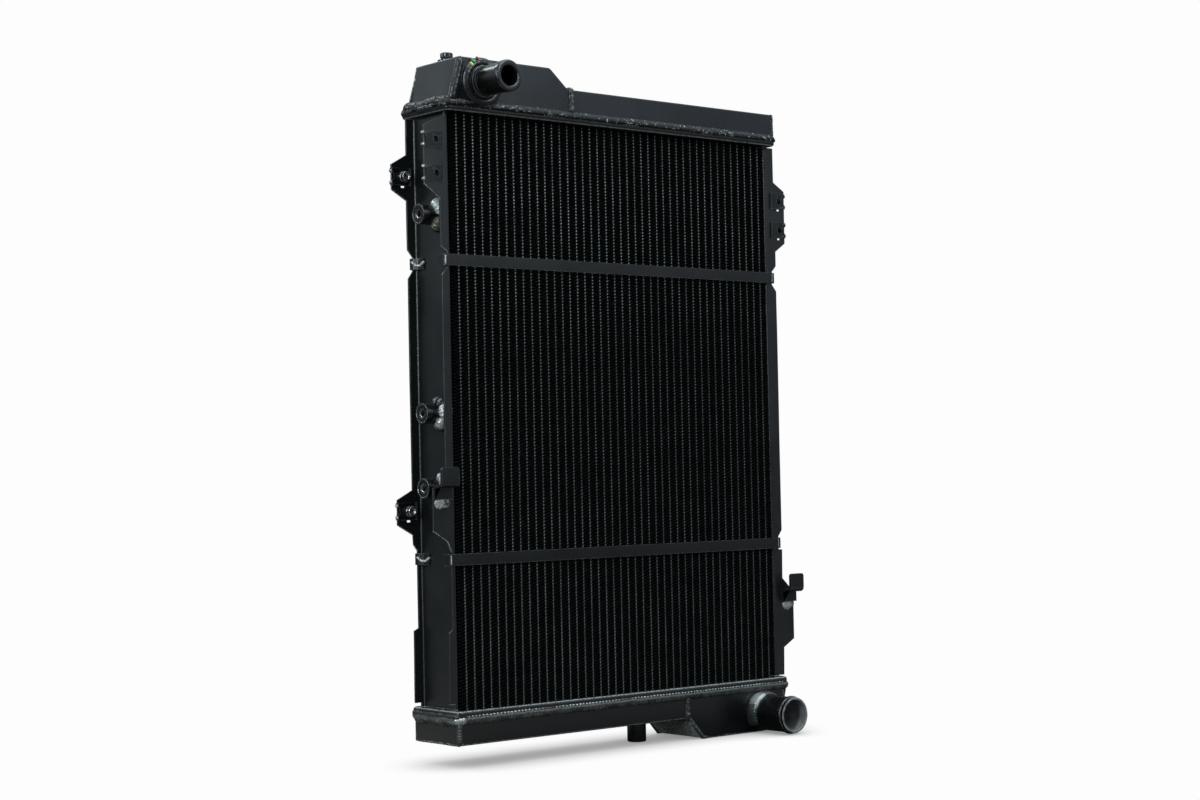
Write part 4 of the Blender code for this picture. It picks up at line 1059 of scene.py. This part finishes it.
# Outlines of the channel flanges, as X outwards and Z, bottom to top
FLANGES = {
    ("left", -1): [
        (225.9, -285.5), (224.9, -217.1), (220.6, -213.3), (220.6, -153.5), (219.6, -153.0), (219.6, -139.0),
        (224.4, -128.5), (241.5, -117.5), (241.5, -76.0), (225.7, -70.0), (225.5, 131.4), (219.7, 138.2),
        (219.3, 154.6), (226.0, 159.2), (226.6, 206.0), (244.6, 218.8), (244.6, 276.7), (224.8, 286.8),
    ],
    ("left", 1): [
        (227.5, -287.4), (227.0, -216.6), (221.5, -214.0), (221.5, -137.6), (225.8, -131.9), (226.3, -122.3),
        (244.6, -112.0), (244.6, -87.1), (226.3, -77.7), (226.4, 132.1), (221.1, 139.5), (220.8, 153.2),
        (226.8, 160.6), (226.9, 209.4), (244.6, 219.5), (244.6, 244.8), (226.2, 255.3), (226.2, 291.0),
    ],
    ("right", -1): [
        (228.0, -291.0), (229.0, -261.0), (244.6, -252.2), (244.6, -200.0), (228.5, -185.0), (229.0, -153.5),
        (223.6, -153.0), (223.6, -139.0), (229.0, -132.0), (229.7, 131.8), (223.1, 139.6), (223.6, 153.4),
        (229.8, 160.0), (229.9, 176.0), (244.6, 185.9), (244.6, 243.7), (228.7, 253.2), (228.7, 291.0),
    ],
    ("right", 1): [
        (228.0, -291.0), (228.0, -153.5), (221.5, -153.0), (221.5, -139.0), (228.0, -132.0), (228.0, 132.1),
        (221.5, 139.5), (221.5, 153.2), (228.0, 160.6), (228.0, 291.0),
    ],
}
CLIPS = [node[:-5] for node in sorted(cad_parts) if node.endswith("_clip")]
SLOTTED_EARS = ("left_rear_upper", "left_rear_lower", "right_front_upper", "right_front_lower")
EAR_SLOT_DROP = 9.8 * MM


def clip_place(name):
    """Side, face and hole place of a clip, from its packed nut."""
    low, high = span(name + "_nut")
    side = -1 if name.startswith("left") else 1
    face = -1 if "front" in name else 1
    return side, face, (low.x + high.x) / 2, (low.z + high.z) / 2


def flange_reach(outline, height):
    """How far out a flange stands at a height, in metres; past its ends only the bend is left."""
    heights = [z * MM for _, z in outline]
    stub = CHANNEL_INNER_X + 5.4 * MM
    if height < heights[0] or height > heights[-1]:
        return stub
    return float(np.interp(height, heights, [x * MM for x, _ in outline]))


def make_channel(side_name):
    """Folded channel lofted up its height, so that each flange follows its own outline."""
    side = -1 if side_name == "left" else 1
    name = side_name + "_side_channel"
    front = FLANGES[side_name, -1]
    rear = FLANGES[side_name, 1]
    end = CHANNEL_HIGH.z
    levels = {-end, end}
    for outline in (front, rear):
        levels |= {z * MM for _, z in outline}
        levels |= {outline[0][1] * MM - 0.05 * MM, outline[-1][1] * MM + 0.05 * MM}
    levels |= {z * MM for z in range(-270, 280, 30)}
    levels = sorted(levels)
    outer = 3.4 * MM
    inner = 1.5 * MM
    chamfer = 0.35 * MM
    face = CORE_HALF_DEPTH

    def section(height):
        tips = {-1: flange_reach(front, height), 1: flange_reach(rear, height)}
        back = CHANNEL_INNER_X + SHEET
        points = []
        for way in (-1, 1):
            tip = tips[way]
            edge = [(tip - chamfer, face), (tip, face - chamfer), (tip, face - SHEET + chamfer),
                    (tip - chamfer, face - SHEET)]
            bend = [(back + inner * out, face - SHEET - inner * drop) for out, drop in quarter(6)]
            points += [(x, -y) for x, y in edge + bend] if way < 0 else reversed(edge + bend)
        for way in (1, -1):
            bend = [(CHANNEL_INNER_X + outer * out, face - outer * drop) for out, drop in quarter(8)]
            points += bend if way > 0 else [(x, -y) for x, y in reversed(bend)]
        # The sheet is never quite flat
        wave = 0.10 * MM * math.sin(height * 31) + 0.06 * MM * math.sin(height * 83 + side)
        return [(side * (x + wave), y, height) for x, y in points]

    rows = np.array([section(height) for height in levels])
    mesh = sweep_mesh(rows, False)
    cutters = []
    for clip in CLIPS:
        clip_side, clip_face, x, z = clip_place(clip)
        if clip_side != side:
            continue
        y = clip_face * (face - SHEET / 2)
        cutters.append(disc("Y", (x, y, z), 3.6 * MM, 4 * MM, 32))
        if clip in SLOTTED_EARS:
            low = (x - 2.5 * MM, y - 4 * MM, z - EAR_SLOT_DROP - 1.0 * MM)
            high = (x + 2.5 * MM, y + 4 * MM, z - EAR_SLOT_DROP + 1.0 * MM)
            cutters.append(block(low, high))

    def bend_highlight(corners):
        """Painted highlight down the middle of the tight inside bend at the rear, brightest at the top of the channel.
        """
        depth = face - SHEET - np.abs(corners[:, 1])
        out = np.abs(corners[:, 0]) - CHANNEL_INNER_X - SHEET
        bend = (depth > 0.1 * MM) & (depth < 1.1 * MM) & (out > 0.1 * MM) & (out < 1.2 * MM) & (corners[:, 1] > 0)
        return bend * np.interp(corners[:, 2], [-0.2, 0.2], [0.06, 0.24])

    show(name, baked(mesh, cutters=cutters, sharp=28), "channel", [name], bare_and_highlight=bend_highlight)


def make_clip(name):
    """Spring clip with a flared lip, a rolled edge and two prongs, and the barrel nut it holds."""
    side, face, x, z = clip_place(name)
    low, high = span(name + "_clip")
    half_height = (high.z - low.z) / 2
    sheet = 1.0 * MM
    outside = max(abs(low.y), abs(high.y))
    inside = min(abs(low.y), abs(high.y))
    tip = max(abs(low.x), abs(high.x))
    end = min(abs(low.x), abs(high.x))
    path = [
        (end - 0.4 * MM, outside + 0.6 * MM), (end + 1.6 * MM, outside - 0.1 * MM), (end + 3.4 * MM, outside),
        (tip, outside), (tip, inside), (end + 3.4 * MM, inside), (end + 1.6 * MM, inside + 0.1 * MM),
        (end - 0.6 * MM, inside - 1.5 * MM),
    ]
    path = filleted(path, 1.5 * MM, 4, closed=False)
    outline = ribbon([(p.x, p.y) for p in path], -sheet)
    placed = [(side * a, face * b) for a, b in outline]
    solid = prism(placed, "Z", z - half_height, z + half_height)
    middle = face * (CORE_HALF_DEPTH - SHEET / 2)
    cutters = [
        disc("Y", (x, middle, z), 3.3 * MM, 6 * MM, 32),
        disc("Y", (side * (tip + 1.2 * MM), middle, z), 5.2 * MM, 8 * MM, 40),
    ]
    arc = [(5.0 * MM, a) for a in np.linspace(35, 145, 9)] + [(6.3 * MM, a) for a in np.linspace(145, 35, 9)]
    window = [(x + r * math.cos(math.radians(a)), z + r * math.sin(math.radians(a))) for r, a in arc]
    cutters.append(prism(window, "Y", *sorted((face * (outside - 2 * MM), face * (outside + 2 * MM)))))
    for way in (-1, 1):
        notch = z + way * half_height
        spot = (side * (tip + 0.2 * MM), middle, notch)
        cutters.append(disc("Y", spot, 2.0 * MM, 8 * MM, 24))
    mesh = baked(solid, cutters=cutters, sharp=30)

    def tips(corners):
        """Painted glints on the fold, strongest on its two prongs; the flat legs have none."""
        fold = np.clip((np.abs(corners[:, 0]) - tip + 1.6 * MM) / MM, 0, 1)
        prong = np.clip((np.abs(corners[:, 2] - z) - 0.22 * half_height) / (0.2 * half_height), 0.25, 1)
        return fold * prong

    show(name + "_clip", mesh, "clip", [name + "_clip"], bare_and_highlight=tips)

    nut_low, nut_high = span(name + "_nut")
    length = nut_high.y - nut_low.y
    seat = nut_low.y if face < 0 else nut_high.y
    radius = (nut_high.x - nut_low.x) / 2
    bore = 2.6 * MM
    profile = [(bore, 0.2 * MM), (radius + 0.9 * MM, 0.2 * MM), (radius + 1.0 * MM, 0.5 * MM),
               (radius + 0.9 * MM, 0.9 * MM), (radius, 1.1 * MM), (radius - 0.1 * MM, length - 0.9 * MM)]
    profile += rim_of(radius - 0.1 * MM, length, 0.9 * MM, 4) + [(bore + 0.5 * MM, length)]
    pitch = 1.0 * MM
    for turn in range(int(length / pitch) - 1):
        depth = length - 0.5 * MM - turn * pitch
        profile += [(bore, depth), (bore + 0.35 * MM, depth - pitch / 2)]
    inward = [(r, -face * h) for r, h in profile]
    mesh = baked(turned(inward, "Y", Vector((x, seat, z)), 48))
    show(name + "_nut", mesh, "nut", [name + "_nut"])


def strap_mesh(outline, height, half_width):
    """Strap of a plan outline, centred on a height."""
    return baked(prism(outline, "Z", height - half_width, height + half_width), edge=0.35 * MM, sharp=30)


def make_straps():
    """Core straps with rounded turns at the channel edges."""
    for level in ("upper", "lower"):
        for face, place in ((-1, "front"), (1, "rear")):
            name = f"{place}_{level}_strap"
            low, high = span(name)
            height = (low.z + high.z) / 2
            half_width = (high.z - low.z) / 2
            sheet = 1.5 * MM
            skin = CORE_HALF_DEPTH + 0.3 * MM
            if face < 0:
                path = [
                    (low.x + sheet, -skin + 9.5 * MM), (low.x + sheet, -skin), (high.x - sheet, -skin),
                    (high.x - sheet, -skin + 9.5 * MM),
                ]
                rounded = filleted(path, 3.0 * MM, 6, closed=False)
                # Between its ends the strap bows forwards a little over the core
                drawn = []
                for one, two in zip(rounded, rounded[1:]):
                    drawn.append(one)
                    if (two - one).length > 0.1:
                        for step in range(1, 24):
                            t = step / 24
                            bow = 0.45 * MM * math.sin(math.pi * t) + 0.12 * MM * math.sin(9 * t)
                            drawn.append(one.lerp(two, t) - Vector((0, bow)))
                drawn.append(rounded[-1])
                outline = ribbon([(p.x, p.y) for p in drawn], -sheet)
            else:
                edge_x = 221.9 * MM
                base_x = CHANNEL_INNER_X + SHEET + 0.3 * MM
                inner = CORE_HALF_DEPTH - SHEET
                half = [
                    (edge_x, skin), (edge_x, inner - 1.5 * MM), (base_x, inner - 6.5 * MM), (base_x, 13.0 * MM),
                ]
                path = [(-a, b) for a, b in reversed(half)] + half
                rounded = filleted(path, 2.6 * MM, 6, closed=False)
                outline = ribbon([(p.x, p.y) for p in rounded], sheet)
            show(name, strap_mesh(outline, height, half_width), "strap", [name])
            for side in (-1, 1):
                # Short tack beads at each strap end; their bright uncoated silver is a painted glint where the strap
                # turns
                label = f"glint_tack_{name}_{'left' if side < 0 else 'right'}"
                bright = {"ripple": 0.4, "bare_and_highlight": patch_at((side * 0.22, 0, height), 0.05), "finish": "silver",
                          "slot": "strap_black"}
                if face < 0:
                    edge = side * 221.8 * MM
                    path = [(edge, -skin - sheet + 0.2 * MM, height + 0.8 * half_width),
                            (edge, -skin - sheet + 0.2 * MM, height - 0.8 * half_width)]
                    weld(label, (path, [(0.3 * side, -1, 0)] * 2), 1.1 * MM, 0.5 * MM, 70, pitch=2.6 * MM, **bright)
                else:
                    base = base_x + sheet
                    path = [(side * (edge_x + sheet), 25.6 * MM, height + 2.6 * MM),
                            (side * (base + 2.2 * MM), 22.0 * MM, height - 1.6 * MM),
                            (side * base, 17.5 * MM, height - 2.0 * MM), (side * base, 11.4 * MM, height + 1.8 * MM)]
                    weld(label, (path, [(side, -0.3, 0)] * 4), 3.0 * MM, 1.6 * MM, 71, pitch=3.0 * MM, **bright)


# Weld runs beside each boss: start and end angle, finish, bareness and ripple
BOSS_RUNS = {
    "upper": [(92, 194, "mint", 0.84, 0.12), (184, 284, "olive", 0.8, 0.16)],
    "middle": [(84, 146, "silver", 0.34, 0.26), (134, 206, "silver", 0.92, 0.12), (190, 284, "grey", 0.60, 0.05)],
    "lower": [(96, 205, "silver", 0.85, 0.16), (170, 280, "weld", 0.1, 0.15)],
}


def make_side_bosses():
    """Threaded bosses, each welded to the channel by a few heavy runs on its front side."""
    for level, runs in BOSS_RUNS.items():
        name = "side_boss_" + level
        low, high = span(name)
        radius = (high.z - low.z) / 2
        length = high.x - low.x
        seat = Vector((high.x, (low.y + high.y) / 2, (low.z + high.z) / 2))
        bore = 3.4 * MM
        rim = 0.5 * MM
        profile = [
            (0, 0.3 * MM), (radius, 0.3 * MM), (radius, -length + 0.5 * MM), (radius - 0.15 * MM, -length + 0.15 * MM),
            (radius - rim, -length), (radius - 1.1 * MM, -length), (radius - 1.5 * MM, -length + 0.35 * MM),
            (bore + 1.6 * MM, -length + 0.55 * MM), (bore + 1.3 * MM, -length + 0.6 * MM),
        ]
        depth = 16 * MM
        pitch = 1.25 * MM
        for turn in range(int((depth - 2 * MM) / pitch)):
            along = -length + 1.9 * MM + turn * pitch
            profile += [(bore, along), (bore + 0.45 * MM, along + pitch / 2)]
        profile += [(bore, -length + depth), (0, -length + depth + 1.5 * MM)]
        mesh = baked(turned(profile, "X", seat, 72), sharp=32)
        show(name, mesh, "boss", [name])
        lining = [(bore + 0.5 * MM, -length + 1.2 * MM), (bore - 0.1 * MM, -length + 1.4 * MM),
                  (bore - 0.1 * MM, -length + 6 * MM), (bore + 0.5 * MM, -length + 6 * MM)]
        show(name + "_thread", baked(turned(lining, "X", seat, 48)), "nut", [name])
        for run, (start, end, finish, shine, ripple) in enumerate(runs):
            worn = patch_at(seat + Vector((-8 * MM, -13 * MM, 12 * MM * math.sin(math.radians((start + end) / 2)))),
                            11 * MM, shine)
            path = ring_path("X", seat + Vector((0.4 * MM, 0, 0)), radius + 1.9 * MM, -6, start, end, 24)
            weld(f"weld_{name}_{run}", path, 13.6 * MM, 10.6 * MM, 20 + 7 * run + len(level), pitch=3.2 * MM,
                 ripple=ripple, lumps=0.12, bare_and_highlight=worn, finish=finish, slot="fitting_black")


def make_hook_brackets():
    """Bent sheet hooks, with a tab whose corners are rounded, and a weld under each lug."""
    for side_name in ("left", "right"):
        name = side_name + "_hook_bracket"
        low, high = span(name)
        sheet = 3.0 * MM
        face = -CORE_HALF_DEPTH - 0.3 * MM
        bend = low.z + 14.0 * MM
        path = [(face, low.z), (face, bend), (low.y + sheet, bend), (low.y + sheet, high.z)]
        rounded = filleted(path, 2.6 * MM, 6, closed=False)
        outline = ribbon([(p.x, p.y) for p in rounded], sheet)
        cutters = []
        for x, way in ((low.x, 1), (high.x, -1)):
            corner = 3.0 * MM
            arc = [(x + way * corner * (1 - math.cos(a)), high.z - corner * (1 - math.sin(a)))
                   for a in np.linspace(0, math.pi / 2, 8)]
            above = high.z + MM
            waste = [(x - way * MM, high.z - corner), *arc, (x + way * corner, above), (x - way * MM, above)]
            cutters.append(prism(waste, "Y", low.y - MM, low.y + sheet + MM))
        mesh = baked(prism(outline, "X", low.x, high.x), cutters=cutters, edge=0.35 * MM, sharp=30)
        show(name, mesh, "strap", [name])
        z = low.z - 4.4 * MM
        path = ([(low.x + 1 * MM, face + 0.4 * MM, z), (high.x - 1 * MM, face + 0.4 * MM, z + 1.5 * MM)],
                [(0, -1, -0.2), (0, -1, -0.2)])
        worn = patch_at((low.x + 5 * MM, face, z + 3 * MM), 14 * MM, 0.55)
        weld("weld_" + side_name + "_hook", path, 14.0 * MM, 2.8 * MM, 40 + len(side_name), pitch=4.2 * MM,
             ripple=0.3, lumps=0.4, slot="strap_black", bare_and_highlight=worn, finish="grey")


# Studio

PAPER_WHITE = 0.982


def make_studio():
    """White sweep to the camera; to the part, a room that is bright overhead and dim near the floor."""
    scene = bpy.context.scene
    scene.view_settings.view_transform = "Standard"
    scene.view_settings.look = "None"
    world = bpy.data.worlds.new("studio")
    scene.world = world
    world.use_nodes = True
    tree = world.node_tree
    tree.nodes.clear()
    way = add(tree, "TexCoord", {}).outputs["Generated"]
    parts = add(tree, "SeparateXYZ", {"Vector": way})
    sky = spread(tree, parts.outputs["Z"], -0.22, 0.60, 0.05, 0.95)
    aim = add(tree, "VectorMath", {0: way, 1: (0.30, -0.93, 0.20)}, operation="DOT_PRODUCT").outputs["Value"]
    lit = spread(tree, aim, -0.9, 0.95, 0.50, 0.95)
    power = times(tree, sky, lit)
    shown = add(tree, "LightPath", {}).outputs["Is Camera Ray"]
    soft = add(tree, "Background", {"Color": (0.82, 0.94, 1.0, 1), "Strength": power}).outputs[0]
    white = add(tree, "Background", {"Color": (1, 1, 1, 1), "Strength": PAPER_WHITE}).outputs[0]
    mixed = add(tree, "MixShader", {0: shown, 1: soft, 2: white}).outputs[0]
    out = add(tree, "OutputWorld", {})
    tree.links.new(mixed, out.inputs["Surface"])

    floor_mesh = build_mesh("floor", [(-6, -6, 0), (6, -6, 0), (6, 6, 0), (-6, 6, 0)], [(0, 1, 2, 3)])
    material = bpy.data.materials.new("floor_white")
    material.use_nodes = True
    tree = material.node_tree
    tree.nodes.clear()
    shown = add(tree, "LightPath", {}).outputs["Is Camera Ray"]
    # Contact shadow: the floor darkens where the part stands over it
    open_sky = add(tree, "AmbientOcclusion", {"Distance": 0.07}, samples=16).outputs["AO"]
    white = spread(tree, open_sky, 0.0, 0.90, 0.22, PAPER_WHITE)
    paper = add(tree, "Emission", {"Strength": white}).outputs[0]
    place = add(tree, "TexCoord", {}).outputs["Object"]
    # The floor's glow on the part is weakest below it, over a patch that is longer across than in depth
    squeeze = {0: place, 1: (0.45, 1, 1), 2: (-0.06, 0, 0)}
    squeezed = add(tree, "VectorMath", squeeze, operation="MULTIPLY_ADD").outputs["Vector"]
    away = add(tree, "VectorMath", {0: squeezed}, operation="LENGTH").outputs["Value"]
    near = spread(tree, away, 0.12, 0.26, 0.015, 0.42)
    glow = add(tree, "Emission", {"Strength": times(tree, near, spread(tree, away, 0.30, 0.85, 1, 0.2))})
    mixed = add(tree, "MixShader", {0: shown, 1: glow.outputs[0], 2: paper}).outputs[0]
    out = add(tree, "OutputMaterial", {})
    tree.links.new(mixed, out.inputs["Surface"])
    floor_mesh.materials.append(material)
    floor = bpy.data.objects.new("floor", floor_mesh)
    scene.collection.objects.link(floor)
    floor.location = (0, 0, -0.4 * MM)

    def panel(name, place, aim_at, size, power):
        data = bpy.data.lights.new(name, "AREA")
        data.shape = "RECTANGLE"
        data.size, data.size_y = size
        data.energy = power
        data.color = (0.86, 0.95, 1.0)
        lamp = bpy.data.objects.new(name, data)
        scene.collection.objects.link(lamp)
        lamp.location = place
        aim = Vector(aim_at) - Vector(place)
        lamp.rotation_mode = "QUATERNION"
        lamp.rotation_quaternion = aim.to_track_quat("-Z", "Y")

    panel("overhead", (0.1, -0.5, 2.3), (0, 0, 0.4), (1.6, 1.2), 20)
    panel("front", (1.0, -2.7, 1.9), (0, 0, 0.5), (0.8, 1.0), 20)
    panel("left_rear", (-2.2, 1.4, 1.6), (0, 0, 0.5), (0.5, 1.2), 14)
    panel("rear", (-0.5, 2.3, 2.5), (0, 0, 0.5), (0.5, 0.8), 7)
    panel("left_strip", (-2.3, -0.9, 1.15), (0, 0, 0.45), (0.08, 1.5), 28)


def make_camera():
    """The photograph's viewing angle: a long lens, low on the left, rolled a little."""
    data = bpy.data.cameras.new("camera")
    data.sensor_width = 36.0
    data.lens = 64.35
    data.clip_start = 0.05
    data.clip_end = 60.0
    camera = bpy.data.objects.new("camera", data)
    bpy.context.scene.collection.objects.link(camera)
    yaw = math.radians(39.926)
    pitch = math.radians(1.898)
    roll = math.radians(-1.232)
    ahead = Vector((math.sin(yaw) * math.cos(pitch), math.cos(yaw) * math.cos(pitch), math.sin(pitch)))
    right = Vector((math.cos(yaw), -math.sin(yaw), 0))
    up = right.cross(ahead)
    rolled_right = right * math.cos(roll) + up * math.sin(roll)
    rolled_up = up * math.cos(roll) - right * math.sin(roll)
    turn = Matrix((rolled_right, rolled_up, -ahead)).transposed()
    camera.rotation_mode = "QUATERNION"
    camera.rotation_quaternion = turn.to_quaternion()
    camera.location = CORE + Vector((-1.4452, -1.7214, -0.0628))
    bpy.context.scene.camera = camera


make_camera()
make_studio()
make_core()
make_header("upper_header_plate", 1)
make_header("lower_header_plate", -1)
make_tanks()
make_tank_welds()
make_inlet()
make_paint_dabs()
make_outlet()
make_bleed_screw()
make_locating_pin()
for side_name in ("left", "right"):
    make_channel(side_name)
for clip_name in CLIPS:
    make_clip(clip_name)
make_straps()
make_side_bosses()
make_hook_brackets()
